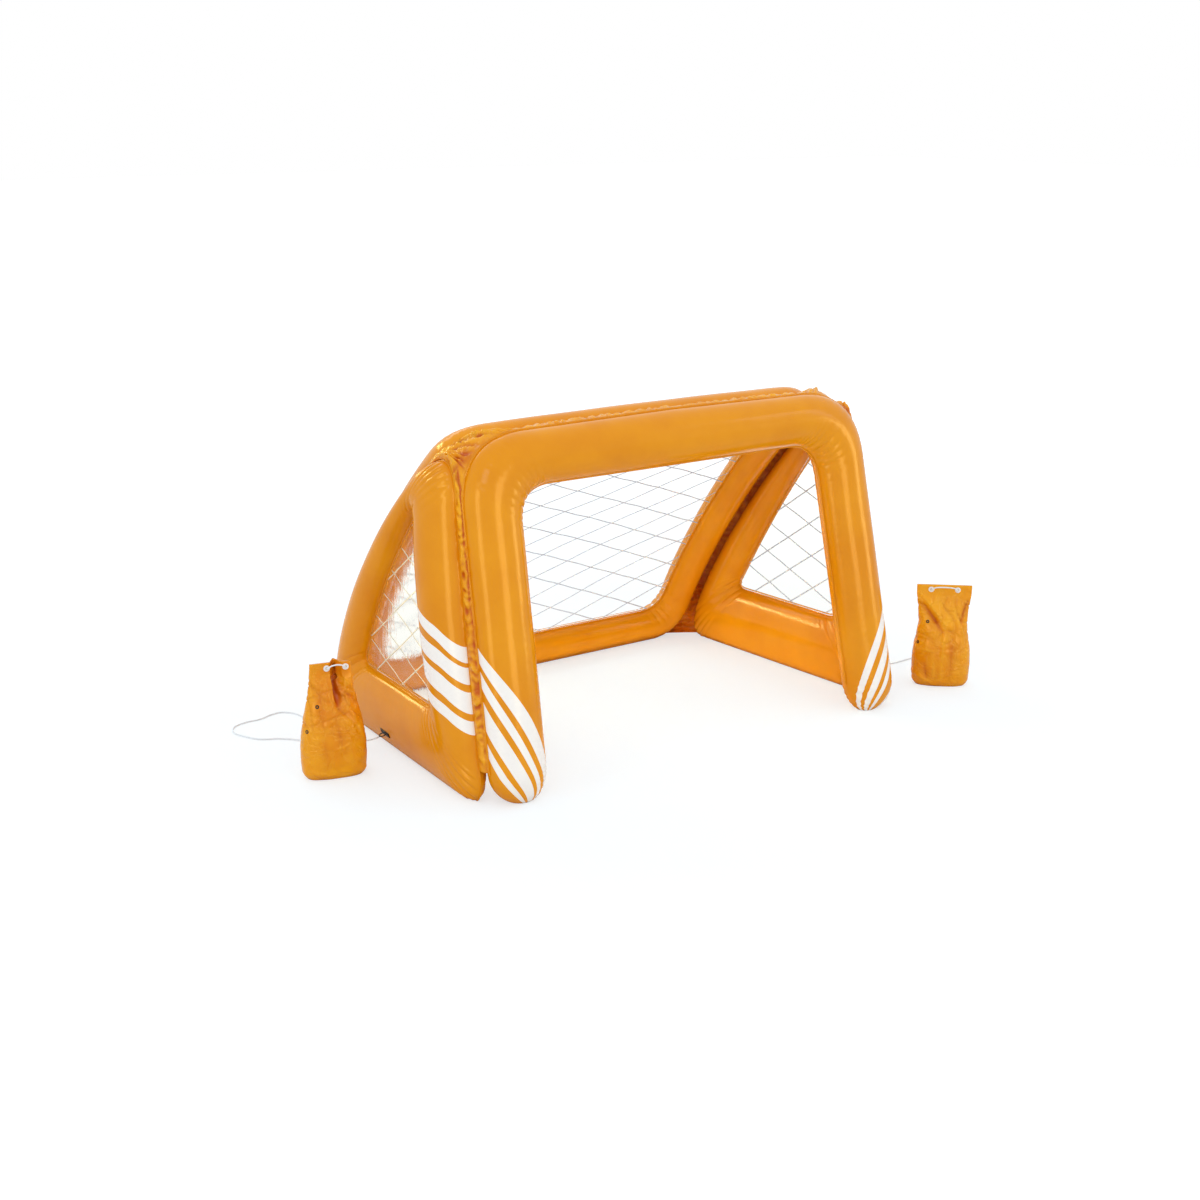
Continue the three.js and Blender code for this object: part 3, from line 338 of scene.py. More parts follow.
class Shell:
    """Points and faces of one piece, put together from grids and closed tubes."""

    def __init__(self):
        self.points, self.faces, self.extra, self.uv, self.count = [], [], [], [], 0

    def add(self, points, faces, extra=None, uv=None):
        points = np.asarray(points, float).reshape(-1, 3)
        self.points.append(points)
        self.faces += [tuple(i + self.count for i in f) for f in faces]
        self.extra.append(np.full(len(points), -1.0) if extra is None else np.ravel(extra))
        self.uv.append(np.zeros((len(points), 2)) if uv is None else np.reshape(uv, (-1, 2)))
        self.count += len(points)
        return self

    def grid(self, points, wrap_rows=False, caps=False, extra=None, uv=None):
        """Rows of points, each row a closed ring. With wrap_rows the last row joins the first."""
        rows, columns = points.shape[:2]
        faces = grid_faces(rows, columns, wrap_rows, True)
        if caps:
            faces += [list(range(columns))[::-1], [(rows - 1) * columns + k for k in range(columns)]]
        return self.add(points, faces, extra, uv)

    def object(self, name, look, *replaced, body="goal", mirror=False, lift=False):
        """The piece as an object. A look is a material and its slot, of which only the material is used here;
        lift keeps the piece off the floor.
        """
        points = np.vstack(self.points)
        if lift:
            points[:, 2] = np.maximum(points[:, 2], 0)
        if mirror:
            points = points * (-1, 1, 1)
        mesh = bpy.data.meshes.new(name)
        mesh.from_pydata(row(points).tolist(), [], self.faces)
        band = mesh.attributes.new("band", "FLOAT", "POINT")
        band.data.foreach_set("value", np.concatenate(self.extra).astype(np.float32))
        layer = mesh.uv_layers.new(name="run")
        corners = np.empty(len(mesh.loops), np.int32)
        mesh.loops.foreach_get("vertex_index", corners)
        layer.data.foreach_set("uv", np.vstack(self.uv)[corners].astype(np.float32).ravel())
        work = bmesh.new()
        work.from_mesh(mesh)
        bmesh.ops.recalc_face_normals(work, faces=work.faces)
        work.to_mesh(mesh)
        work.free()
        mesh.shade_smooth()
        vinyl_made, slot = look
        mesh.materials.append(vinyl_made)
        made = new_object(name, mesh)
        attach(made, body)
        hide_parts(*replaced)
        return made


def length_along(points):
    return np.r_[0, np.cumsum(np.linalg.norm(np.diff(points, axis=0), axis=1))]


def resampled(points, n):
    s = length_along(points)
    even = np.linspace(0, s[-1], n)
    return np.stack([np.interp(even, s, points[:, k]) for k in range(points.shape[1])], 1)


def turning(points, closed, reach=12, least=0.01):
    """How fast an outline turns at each point, per millimetre, softened along it."""
    pad = reach * 3
    ends = (points[-pad:], points[:pad]) if closed else (points[:1].repeat(pad, 0), points[-1:].repeat(pad, 0))
    step = np.diff(np.vstack([ends[0], points, ends[1]]), axis=0)
    size = np.maximum(np.linalg.norm(step, axis=1), 1e-3)
    angle = np.arctan2(step[:, 1], step[:, 0])
    bend = np.abs((np.diff(angle) + np.pi) % (2 * np.pi) - np.pi) / (0.5 * (size[1:] + size[:-1]))
    bend[~np.isfinite(bend) | (size[1:] < least) | (size[:-1] < least)] = 0
    weights = np.hanning(2 * reach + 1)
    soft = np.convolve(bend, weights / weights.sum(), "same")
    return soft[pad - 1: pad - 1 + len(points)]


def lobes(s, size, seed):
    """Rounded puckers with sharp creases between them, a little uneven: 0 in a crease, 1 on a pucker."""
    warped = s + size * (0.33 * np.sin(s / (2.1 * size) + seed) + 0.2 * np.sin(s / (0.83 * size) + 2.7 * seed))
    return np.abs(np.sin(np.pi * warped / size)) ** 0.6


# Puckers of an inflated tube: their length, their depth, and the radii of turn in mm at which they are full
PUCKER, PLEATS, FULL_INNER, FULL_OUTER = 15.0, 0.24, 55, 110


def tube_points(outer, inner, swell, place, sides, closed, seed, outer_pleats):
    """An inflated tube between two welded edges, puckered where its edges turn."""
    angle = circle(sides)
    across = (1 + np.cos(angle)) / 2
    xy = inner[:, None] + (outer - inner)[:, None] * across[None, :, None]
    out = np.asarray(swell)[:, None] * np.sin(angle)[None]
    s_in, s_out = length_along(inner), length_along(outer)
    turn_in = np.clip(turning(inner, closed) * FULL_INNER, 0, 1)
    turn_out = np.clip(turning(outer, closed) * FULL_OUTER, 0, 1)
    from_inner = np.abs(np.pi - angle)
    near_in = np.exp(-((from_inner / 0.75) ** 2))
    near_out = np.exp(-(((np.pi - from_inner) / 0.8) ** 2))
    crease_in = (1 - lobes(s_in, PUCKER, seed)) * (0.1 + turn_in)
    crease_out = (1 - lobes(s_out, PUCKER * 1.5, seed + 2)) * (0.06 + 1.1 * outer_pleats * turn_out)
    crease_back = (1 - lobes(s_in + 7, PUCKER * 1.13, seed + 4)) * (0.1 + turn_in)
    deep_in = np.where(np.sin(angle)[None] > 0, crease_in[:, None], crease_back[:, None])
    shrink = PLEATS * (deep_in * near_in[None] * 1.7 + crease_out[:, None] * near_out[None])
    sway = 0.006 * np.sin(s_out[:, None] / 41 + seed + 2 * angle[None])
    out = out * (1 - np.clip(shrink, 0, 0.6) + sway - 0.006)
    return place(xy[..., 0], xy[..., 1], out), xy, angle


def lip(shell, edge, away, place, width, closed):
    """The flat welded flange that runs along a tube's edge."""
    normal = unit(edge - away)
    rings = []
    for reach, side in ((-2.0, 1), (width, 1), (width, -1), (-2.0, -1)):
        p = edge + normal * reach
        rings.append(place(p[:, 0], p[:, 1], np.full(len(p), side * LIP_THICK / 2)))
    shell.grid(np.stack(rings, 1), wrap_rows=closed)


# Materials


class Nodes:
    """The node tree of a material or a world, with short ways to add to it."""

    def __init__(self, owner):
        owner.use_nodes = True
        self.tree = owner.node_tree

    def put(self, inputs, values):
        for key, value in values.items():
            if isinstance(value, bpy.types.NodeSocket):
                self.tree.links.new(value, inputs[key])
            else:
                inputs[key].default_value = value

    def finish(self, last, **values):
        """Sets the inputs of the tree's own node; an underscore in a key stands for a space."""
        self.put(self.tree.nodes[last].inputs, {key.replace("_", " "): value for key, value in values.items()})

    def add(self, kind, values=None, output=0, **settings):
        made = self.tree.nodes.new("ShaderNode" + kind)
        for key, value in settings.items():
            setattr(made, key, value)
        self.put(made.inputs, values or {})
        return made.outputs[output]

    def place(self):
        return self.add("TexCoord", output="Object")

    def band(self):
        return self.add("Attribute", output="Fac", attribute_name="band")

    def path(self, kind):
        return self.add("LightPath", output=f"Is {kind} Ray")

    def seen(self):
        """1 for a ray that the camera sees directly or through a window."""
        return self.math("MAXIMUM", self.path("Camera"), self.path("Transmission"))

    def math(self, operation, a, b=0.5):
        return self.add("Math", {0: a, 1: b}, operation=operation)

    def noise(self, where, scale, detail=3.0, rough=0.5, distortion=0.0):
        return self.add("TexNoise", {
            "Vector": where, "Scale": scale, "Detail": detail, "Roughness": rough, "Distortion": distortion,
        }, "Fac")

    def spread(self, value, low, high, from_low=0.0, from_high=1.0):
        return self.add("MapRange", {
            "Value": value, "From Min": from_low, "From Max": from_high, "To Min": low, "To Max": high,
        }, "Result")

    def blend(self, share, a, b):
        return self.add("Mix", {0: share, 6: a, 7: b}, 2, data_type="RGBA")

    def bump(self, height, strength, distance, under=None):
        values = {"Height": height, "Strength": strength, "Distance": distance}
        if under is not None:
            values["Normal"] = under
        return self.add("Bump", values, "Normal")


def material(name):
    made = bpy.data.materials.new(name)
    return made, Nodes(made)


def linear(r, g, b):
    def channel(c):
        c = c / 255
        return c / 12.92 if c <= 0.04045 else ((c + 0.055) / 1.055) ** 2.4
    return (channel(r), channel(g), channel(b), 1.0)


# The crease colour is a painted highlight along the crinkles' creases, which also stands for the pale line of
# creased vinyl
BAND_WHITE, CREASE_HIGHLIGHT, BORDER = linear(250, 249, 246), linear(255, 202, 56), linear(236, 170, 60)
# The band attribute goes through an edge within this much of 0
EDGE = 0.25


def vinyl(name, slot, pale, deep, rough, crinkle=0.0, crinkle_scale=0.0, folds=None, bands=False):
    """Glossy vinyl in two shades, with crinkles, painted shade in folds with painted highlights on their ridges,
    or white printed bands from the band attribute.
    """
    made, nodes = material(name)
    where = nodes.place()
    color = nodes.blend(nodes.spread(nodes.noise(where, 7.0, 4.0, 0.55), 0, 1, 0.3, 0.7), pale, deep)
    roughness = nodes.spread(nodes.noise(where, 46.0, 5.0, 0.7, 1.5), rough[0], rough[1], 0.35, 0.7)
    normal = nodes.bump(nodes.noise(where, 24.0, 3.0, 0.5), 0.25, 0.002)
    normal = nodes.bump(nodes.noise(where, 700.0, 2.0), 0.12, 0.0002, normal)
    if crinkle:
        ridged = nodes.math("SUBTRACT", nodes.noise(where, crinkle_scale, 4.0, 0.55, 0.9), 0.5)
        creases = nodes.spread(nodes.math("ABSOLUTE", ridged), 0, 1, 0.0, 0.09)
        normal = nodes.bump(creases, crinkle, 0.003, normal)
        # Painted highlight along the crinkles' creases
        color = nodes.blend(nodes.spread(creases, 0.14, 0.0), color, CREASE_HIGHLIGHT)
    if folds:
        # Painted shade where the band attribute is low, in the valleys of the folds, and a painted highlight of
        # the pale colour where it is high, on their ridges
        relief = nodes.band()
        color = nodes.blend(nodes.spread(relief, 0.85, 0.0, -0.8, 0.25), color, folds)
        color = nodes.blend(nodes.spread(relief, 0.0, 0.5, 0.35, 1.1), color, pale)
    if bands:
        white = nodes.spread(nodes.band(), 0, 1, -EDGE, EDGE)
        color = nodes.blend(white, color, BAND_WHITE)
        roughness = nodes.math("ADD", roughness, nodes.spread(white, 0, 0.1))
    nodes.finish(
        "Principled BSDF", Base_Color=color, Roughness=roughness, Normal=normal, Specular_IOR_Level=0.24)
    return made, slot


def plastic(name, slot, color, rough, border=None):
    """Moulded plastic or print, a little patchy; a border has the band attribute above 0."""
    made, nodes = material(name)
    where = nodes.place()
    darker = tuple(c * 0.86 for c in color[:3]) + (1.0,)
    color = nodes.blend(nodes.spread(nodes.noise(where, 90.0, 4.0, 0.6), 0, 0.6, 0.35, 0.75), color, darker)
    if border:
        color = nodes.blend(nodes.spread(nodes.band(), 0, 1, -EDGE, EDGE), color, border)
    scuffs = nodes.spread(nodes.noise(where, 260.0, 4.0, 0.7), rough - 0.06, rough + 0.12, 0.35, 0.7)
    normal = nodes.bump(nodes.noise(where, 900.0, 2.0), 0.15, 0.0002)
    nodes.finish("Principled BSDF", Base_Color=color, Specular_IOR_Level=0.3, Roughness=scuffs, Normal=normal)
    return made, slot


STRANDS, TWISTS_PER_METRE = 3.0, 430.0


def rope(name, slot):
    """Twisted cord: strands wind round it along its run."""
    made, nodes = material(name)
    around, along = nodes.add("SeparateXYZ", {
        "Vector": nodes.add("UVMap", output="UV", uv_map="run"),
    }).node.outputs[:2]
    turns = nodes.math(
        "ADD", nodes.math("MULTIPLY", along, TWISTS_PER_METRE), nodes.math("MULTIPLY", around, STRANDS))
    height = nodes.spread(nodes.math("SINE", nodes.math("MULTIPLY", turns, 6.2832)), 0, 1, -1, 1)
    fuzz = nodes.noise(nodes.place(), 1500.0, 3.0)
    # Painted shade in the grooves between the strands
    shade = nodes.blend(nodes.spread(height, 0.5, 0.0), linear(240, 249, 255), linear(226, 236, 246))
    normal = nodes.bump(fuzz, 0.3, 0.0002, nodes.bump(height, 0.45, 0.0006))
    nodes.finish("Principled BSDF", Base_Color=shade, Roughness=nodes.spread(fuzz, 0.55, 0.8), Normal=normal)
    return made, slot


def clear_film(name, slot, waves, tint_and_glow=(0.99, 0.985, 0.97, 1)):
    """Thin clear vinyl: glass with a little haze, which lets the lamps' light through."""
    made, nodes = material(name)
    streaks = nodes.add("Mapping", {"Vector": nodes.place(), "Scale": (1.0, 1.0, 0.2)}, "Vector")
    # The waves are on the side the light enters by, so that what lies behind is seen streaked
    entering = nodes.spread(nodes.add("NewGeometry", output="Backfacing"), waves, 0.0)
    normal = nodes.bump(nodes.noise(streaks, 60.0, 4.0, 0.6, 0.6), entering, 0.002)
    haze = nodes.spread(nodes.noise(streaks, 12.0, 4.0, 0.6), 0.0, 0.05, 0.35, 0.7)
    nodes.finish(
        "Principled BSDF", Base_Color=tint_and_glow, IOR=1.16, Transmission_Weight=1.0, Roughness=haze, Normal=normal)
    clear = nodes.add("BsdfTransparent", {"Color": (0.96, 0.965, 0.95, 1)})
    film = nodes.tree.nodes["Principled BSDF"].outputs["BSDF"]
    mixed = nodes.add("MixShader", {0: nodes.path("Shadow"), 1: film, 2: clear})
    nodes.finish("Material Output", Surface=mixed)
    return made, slot


ORANGE = vinyl(
    "orange_vinyl", "orange_vinyl", linear(236, 156, 14), linear(226, 142, 8), rough=(0.13, 0.22), bands=True)
BAG = vinyl(
    "bag_vinyl", "bag_vinyl", linear(250, 178, 24), linear(230, 138, 8),
    rough=(0.1, 0.2), crinkle=0.4, crinkle_scale=22.0, folds=linear(190, 74, 8))
WELD = vinyl(
    "weld_vinyl", "weld_vinyl", linear(250, 180, 30), linear(226, 136, 10),
    rough=(0.1, 0.22), crinkle=0.25, crinkle_scale=42.0, folds=linear(190, 70, 8))
# The weld vinyl again, darker and redder: painted shade for the seams and webs that lie deep between the chambers
SHADED_WELD = vinyl(
    "weld_vinyl_shaded", "weld_vinyl", linear(236, 132, 14), linear(212, 92, 10),
    rough=(0.1, 0.22), crinkle=0.25, crinkle_scale=50.0, folds=linear(158, 44, 6))
# The side films' warmer tints are a painted golden glow, standing for the chambers' shine seen through them; the
# film itself is clear
FILMS = {
    "back": clear_film("clear_vinyl", "clear_vinyl", 0.06),
    "side_right": clear_film("clear_vinyl_side_glow", "clear_vinyl", 0.5, (0.985, 0.972, 0.92, 1)),
    "side_left": clear_film("clear_vinyl_left_glow", "clear_vinyl", 0.5, (0.995, 0.965, 0.9, 1)),
}
# The net print is white; the back and right windows show it in painted shade, bluish grey, and the left window
# shows a painted lit copy, near white
SHADED_PRINT = plastic("white_print", "white_print", linear(208, 222, 240), 0.5, BORDER)
LIT_PRINT = plastic("white_print_lit_left", "white_print", linear(250, 248, 236), 0.5, BORDER)
VALVE = plastic("valve_vinyl", "valve_vinyl", linear(246, 226, 178), 0.3)
WHITE = plastic("white_plastic", "white_plastic", linear(245, 245, 243), 0.4)
BLACK = plastic("black_plastic", "black_plastic", linear(12, 12, 14), 0.36)
ROPE = rope("white_cord", "white_cord")

# Seats of the valves and loops, at the source's own stations


def seat_of(corners, core):
    """Middle, outward normal and direction of a four-cornered facet."""
    middle = corners.mean(0)
    run = unit(corners[1] + corners[2] - corners[0] - corners[3])
    across = unit(corners[3] + corners[2] - corners[0] - corners[1])
    normal = unit(np.cross(run, across))
    return middle, normal if (middle - core) @ normal >= 0 else -normal, run


def tube_seat(outer, inner, swell, i, side, place, sides=14):
    def point(k, turn):
        a = 2 * math.pi * turn / sides
        p = inner[k] + (outer[k] - inner[k]) * (1 + math.cos(a)) / 2
        return place(p[0], p[1], swell[k] * math.sin(a))

    corners = np.array([point(i, side), point(i + 1, side), point(i + 1, side + 1), point(i, side + 1)])
    return seat_of(corners, np.mean([point(i, k) for k in range(sides)], 0))


CORNER_STEPS = 6
CAD_FRONT = front_stations(7, CORNER_STEPS, 4, (0.965, 0.84, 0.62, 0.34))
POSTS_START, POSTS_END = BACK_TOP_TUBE + BACK_TOP_INNER, BACK_LENGTH - BACK_LOW_TUBE - BACK_LOW_INNER
CAD_POSTS = np.array([
    s for s in (i * PROFILE_STEP for i in range(BACK_STEPS + 1)) if POSTS_START < s < POSTS_END
])
CAD_BACK = back_outline(CORNER_STEPS, CAD_POSTS, 6)
BACK_RIGHT_STATIONS = 2 * (CORNER_STEPS + 1) + len(CAD_POSTS)
ARCHES = round((ARCH_END - ARCH_START) / PROFILE_STEP)
CAD_SIDE = side_outline(CORNER_STEPS, ARCHES, 8, 7)
SILL_START = CORNER_STEPS + ARCHES + CORNER_STEPS


def side_seat(step, side):
    """The seat on a step of the right panel's sill, counted from its heel."""
    outer, inner = CAD_SIDE
    return tube_seat(outer, inner, np.full(len(outer), SIDE_THICK / 2), SILL_START + step, side, on_side)


LOOP_SEAT = side_seat(3, 2)

# Anchor bags: levels of height, width, depth and squareness, as shares of the bag's size
BAG_FORM = np.array([
    (0, 0.84, 0.62, 2.6), (0.035, 0.94, 0.82, 2.6), (0.11, 0.985, 0.96, 2.5), (0.24, 1, 1, 2.4),
    (0.38, 0.97, 0.95, 2.3), (0.5, 0.9, 0.82, 2.3), (0.6, 0.85, 0.68, 2.3), (0.7, 0.85, 0.5, 2.4),
    (0.8, 0.885, 0.3, 2.6), (0.9, 0.93, 0.08, 6), (1, 0.94, 0.076, 6),
])
BAG_ACROSS = np.array((-1, -0.96, -0.8, -0.45, 0, 0.14, 0.28, 0.42, 0.56, 0.9, 1))
LEFT_FOLD, FOLD_AT, FOLD_REACH, FOLD_SQUEEZE = 30.0, 0.28, 0.28, 0.34
# Each fold runs from one share across and height to another, with its rise and width in millimetres
BAGS = {
    "left": {
        "fold": LEFT_FOLD, "grommets": (-0.18, 0.74), "place": (-797.0, -47.0), "turn": -15.0, "seed": 3.0,
        "folds": [
            (0.15, 0.95, 0.2, 0.64, -17, 7), (-0.04, 0.9, 0.06, 0.64, 4, 4), (0.1, 0.62, 0.36, 0.66, 4, 3),
            (0.45, 0.87, 0.85, 0.79, 4, 3), (0.42, 0.81, 0.9, 0.71, 4, 3), (0.5, 0.75, 0.85, 0.69, -5, 4),
            (-0.55, 0.8, -0.4, 0.5, -2.5, 7), (-0.05, 0.28, 0.4, 0.31, 3, 2.5), (0.05, 0.52, 0.2, 0.25, -3, 6),
            (0.62, 0.62, 0.9, 0.3, 5, 5), (-0.4, 0.42, -0.3, 0.15, -2, 7), (-0.9, 0.1, -0.3, 0.05, 3, 3),
        ],
    },
    "right": {
        "fold": 0.0, "grommets": (-0.48, 0.48), "place": (817.0, -394.0), "turn": -42.0, "seed": 11.0,
        "folds": [
            (-0.85, 0.9, 0.05, 0.62, 6.5, 4), (-0.8, 0.82, 0.0, 0.55, -7, 6), (0.05, 0.62, -0.05, 0.08, 6, 5),
            (-0.8, 0.55, -0.35, 0.56, 3.5, 3), (-0.85, 0.38, -0.35, 0.37, 4.5, 2.5),
            (-0.35, 0.37, -0.3, 0.1, 4, 3), (0.9, 0.85, 0.7, 0.62, -6, 5), (0.6, 0.7, 0.85, 0.5, 4, 4),
            (-0.6, 0.24, -0.5, 0.06, -5, 5), (-0.95, 0.13, -0.2, 0.03, 5, 4), (0.3, 0.8, 0.5, 0.72, 2.5, 3),
            (0.35, 0.5, 0.3, 0.15, -4, 8),
        ],
    },
}


def bag_narrowing(fold, rise=1):
    return 1 - rise * FOLD_SQUEEZE * fold / LEFT_FOLD


def bag_point(share, side, height, width, depth, square, fold):
    rise = smoothstep(0.5, 1, height)
    wide = BAG_WIDTH / 2 * width * bag_narrowing(fold, rise)
    near = np.maximum(0, 1 - np.abs(share - FOLD_AT) / FOLD_REACH)
    deep = BAG_DEPTH / 2 * depth * (1 - np.abs(share) ** square) ** (1 / square)
    return stack(share * wide, side * deep + rise * fold * near, height * BAG_HEIGHT)


def bag_place(name, points):
    a = math.radians(BAGS[name]["turn"])
    x, y = points[..., 0], points[..., 1]
    bx, by = BAGS[name]["place"]
    return stack(x * math.cos(a) - y * math.sin(a) + bx, x * math.sin(a) + y * math.cos(a) + by, points[..., 2])


def bag_seat(name, level, column):
    """A seat on the source's bag, between two levels and two columns."""
    fold = BAGS[name]["fold"]
    low, high = (np.vstack([
        bag_point(BAG_ACROSS, -1, *form, fold), bag_point(BAG_ACROSS[1:-1], 1, *form, fold)[::-1],
    ]) for form in BAG_FORM[level: level + 2])
    corners = np.array([low[column], low[column + 1], high[column + 1], high[column]])
    return seat_of(corners, np.array((0, 0, corners[0][2])))


# Tether cords, laid over the floor from each loop to the back of its bag
ROUTES = {
    "left": [
        (-668, 62), (-676, 130), (-684, 200), (-689, 270), (-692, 335), (-699, 376), (-722, 402), (-750, 401),
        (-785, 387), (-831, 385), (-864, 370), (-880, 335), (-868, 292), (-845, 255), (-806, 232), (-776, 200),
        (-758, 150), (-762, 95),
    ],
    "right": [
        (676, 62), (690, 118), (716, 176), (757, 204), (792, 182), (800, 130), (782, 68), (758, 5), (748, -60),
        (758, -125), (784, -178), (818, -206), (858, -208), (898, -206), (934, -214), (950, -245), (936, -282),
        (908, -310),
    ],
}
# How much of its end's height a cord still has at the first points of its route from either end
DROPS = (0.46, 0.12, 0.02)


def catmull(points, per_span):
    """Centripetal Catmull-Rom curve through the points."""
    def mixed(a, b, start, end, s):
        return (end - s) / (end - start) * a + (s - start) / (end - start) * b

    p = np.vstack([2 * points[0] - points[1], points, 2 * points[-1] - points[-2]])
    made = []
    for i in range(1, len(p) - 2):
        q = p[i - 1: i + 3]
        t = np.r_[0, np.cumsum(np.maximum(np.linalg.norm(np.diff(q, axis=0), axis=1), 1e-6) ** 0.5)]
        s = np.linspace(t[1], t[2], per_span + 1)[:-1, None]
        a = [mixed(q[k], q[k + 1], t[k], t[k + 1], s) for k in range(3)]
        b = [mixed(a[k], a[k + 1], t[k], t[k + 2], s) for k in range(2)]
        made.append(mixed(b[0], b[1], t[1], t[2], s))
    return np.vstack([*made, points[-1:]])


def cord_shell(path, diameter, sides=12, shell=None):
    """A round tube along a path, with its run kept as UV."""
    along = unit(np.gradient(path, axis=0))
    across = [unit(np.cross(along[0], (0.3, 0.2, 1.0)))]
    for a in along[1:]:
        across.append(unit(across[-1] - a * (across[-1] @ a)))
    across = np.array(across)
    other = np.cross(along, across)
    turn = circle(sides)[None, :, None]
    points = path[:, None] + diameter / 2 * (across[:, None] * np.cos(turn) + other[:, None] * np.sin(turn))
    around = np.abs(np.arange(sides) - sides / 2) / sides * 2
    uv = stack(around, length_along(path)[:, None] / 1000, 0.0)[..., :2]
    return (shell or Shell()).grid(points, caps=True, uv=uv)


def add_tether(name):
    middle, normal, _ = LOOP_SEAT
    middle, normal = (v * (SIDES[name], 1, 1) for v in (middle, normal))
    tip = middle + normal * (GAP + LOOP_WIRE + 2 * LOOP_RADIUS + LOOP_WIRE + GAP)
    start = np.array([tip, tip + normal * 2 * CORD])
    bag_middle, bag_normal, _ = bag_seat(name, 1, 15)
    end = bag_middle + bag_normal * GAP
    anchor = bag_place(name, np.array([end, end + bag_normal * 3 * CORD]))
    route = np.array(ROUTES[name], float)
    lift = np.zeros(len(route))
    lift[:3] = start[1][2] * np.array(DROPS)
    lift[-3:] += anchor[1][2] * np.array(DROPS[::-1])
    floor = stack(route[:, 0], route[:, 1], CORD / 2 + 2 * GAP + lift)
    path = catmull(np.vstack([start, floor, anchor[::-1]]), 16)
    made = cord_shell(path, CORD).object(f"tether_rope_{name}", ROPE, f"tether_cord_{name}")


for side_name in SIDES:
    add_tether(side_name)

# Printed bands: each has its upper and lower edge's height, and how steeply the two edges run
LEG_BANDS = {
    -1: {
        "run": (1.35, 6.4),
        "edges": ((350, 318, 0.75, 0.92), (300, 263, 1, 1), (234, 170, 1, 1), (142, 110, 1, 1)),
    },
    1: {
        "run": (0.6, 5.7),
        "edges": ((294, 256, 1, 1), (227, 190, 1, 1), (168, 144, 1, 1), (92, 60, 1, 1)),
    },
}
SIDE_BANDS = ((348, 313, 0.85, 0.95), (303, 266, 0.77, 0.75), (249, 202, 0.77, 0.79), (186, 156, 0.7, 0.72))
RIGHT_BANDS_LOWER, NO_BAND = 25.0, -9.0
# The radius that the bands wind round with: a leg's in metres, a side ring's in millimetres
LEG_RADIUS, SIDE_RADIUS = 0.060, 60
# Where the side bands start and end behind the front edge, and their slope's share beyond the knee
SIDE_BANDS_START, SIDE_BANDS_KNEE, SIDE_BANDS_END, KNEE_SHARE = 26, 45, 185, 0.45


def band_depth(height, edges):
    """How far inside the nearest white band a point is, in millimetres: below 0 outside."""
    return np.max([np.minimum(upper - height, height - lower) for upper, lower in edges], 0)


def half_turn(angle):
    return (angle + np.pi) % (2 * np.pi) - np.pi


def leg_bands(x, height, angle):
    s = LEG_RADIUS * half_turn(angle)
    depth = np.full(np.broadcast(x, s).shape, NO_BAND)
    for sign, form in LEG_BANDS.items():
        a, b = form["run"]
        drop = 1000 * (a * s + b * np.maximum(s, 0) ** 2)
        edges = [(up - k * drop, low - m * drop) for up, low, k, m in form["edges"]]
        found = np.minimum(band_depth(height, edges), 1000 * (s + 0.02))
        depth = np.where(np.sign(x) == sign, found, depth)
    return depth


def side_bands(y, height, angle, lower):
    turn = half_turn(angle)
    behind = y - front_line(height) - SIDE_BANDS_START
    beyond = SIDE_BANDS_KNEE + KNEE_SHARE * (behind - SIDE_BANDS_KNEE)
    flatter = np.where(behind < SIDE_BANDS_KNEE, behind, beyond)
    edges = [(up - lower + k * flatter, low - lower + m * flatter) for up, low, k, m in SIDE_BANDS]
    found = np.minimum(band_depth(height, edges), SIDE_RADIUS * (turn + 0.3))
    return np.minimum(np.minimum(found, SIDE_RADIUS * (math.pi - 0.02 - turn)), SIDE_BANDS_END - behind)


# Air chambers
TUBE_SIDES = 40
FOOT_SHARES = np.sin(np.radians(np.arange(87, 2, -1.6)))
FRONT = front_stations(150, 56, 60, FOOT_SHARES)
BACK_CORNER, SIDE_CORNER, SIDE_ARCHES = 48, 44, 120
POSTS = np.linspace(POSTS_START + 4, POSTS_END - 4, 120)
BACK = back_outline(BACK_CORNER, POSTS, 180)
SIDE = side_outline(SIDE_CORNER, SIDE_ARCHES, 90, 90)


def finish_chamber(name, shell, outer, inner, place, reaches=(3.0, 3.0), closed=True, mirror=False):
    lip(shell, outer, inner, place, reaches[0], closed)
    lip(shell, inner, outer, place, reaches[1], closed)
    shell.object(f"{name}_skin", ORANGE, name, mirror=mirror, lift=True)


def add_front_frame():
    outer, inner, swell = FRONT
    points, xy, angle = tube_points(outer, inner, swell, on_front, 56, False, 1.3, 0.25)
    shell = Shell().grid(points, caps=True, extra=leg_bands(xy[..., 0], xy[..., 1], angle[None]))
    body = slice(len(FOOT_SHARES), -len(FOOT_SHARES))
    finish_chamber("front_frame", shell, outer[body], inner[body], on_front, (4.5, 3.5), closed=False)


def back_valve_seat():
    """Where the source's straight steps seat the valve, a little inside the smooth curve drawn here."""
    swell = np.full(len(CAD_BACK[0]), BACK_THICK / 2)
    middle, normal, run = tube_seat(*CAD_BACK, swell, BACK_RIGHT_STATIONS + 4, 3, on_back)
    aside = unit(np.cross(normal, run))
    return middle - normal * VALVE_SINK + aside * VALVE_ASIDE, normal, run


def add_back_ring():
    outer, inner = BACK
    points, _, _ = tube_points(
        outer, inner, np.full(len(outer), BACK_THICK / 2), on_back, TUBE_SIDES, True, 2.1, 0.35)
    middle, normal, _ = back_valve_seat()
    dimple = 1 - smoothstep(17, 42, np.linalg.norm(points - middle, axis=-1))
    points = points - normal * (dimple * 1.1 * VALVE_SINK)[..., None]
    finish_chamber("back_ring", Shell().grid(points, wrap_rows=True), outer, inner, on_back)


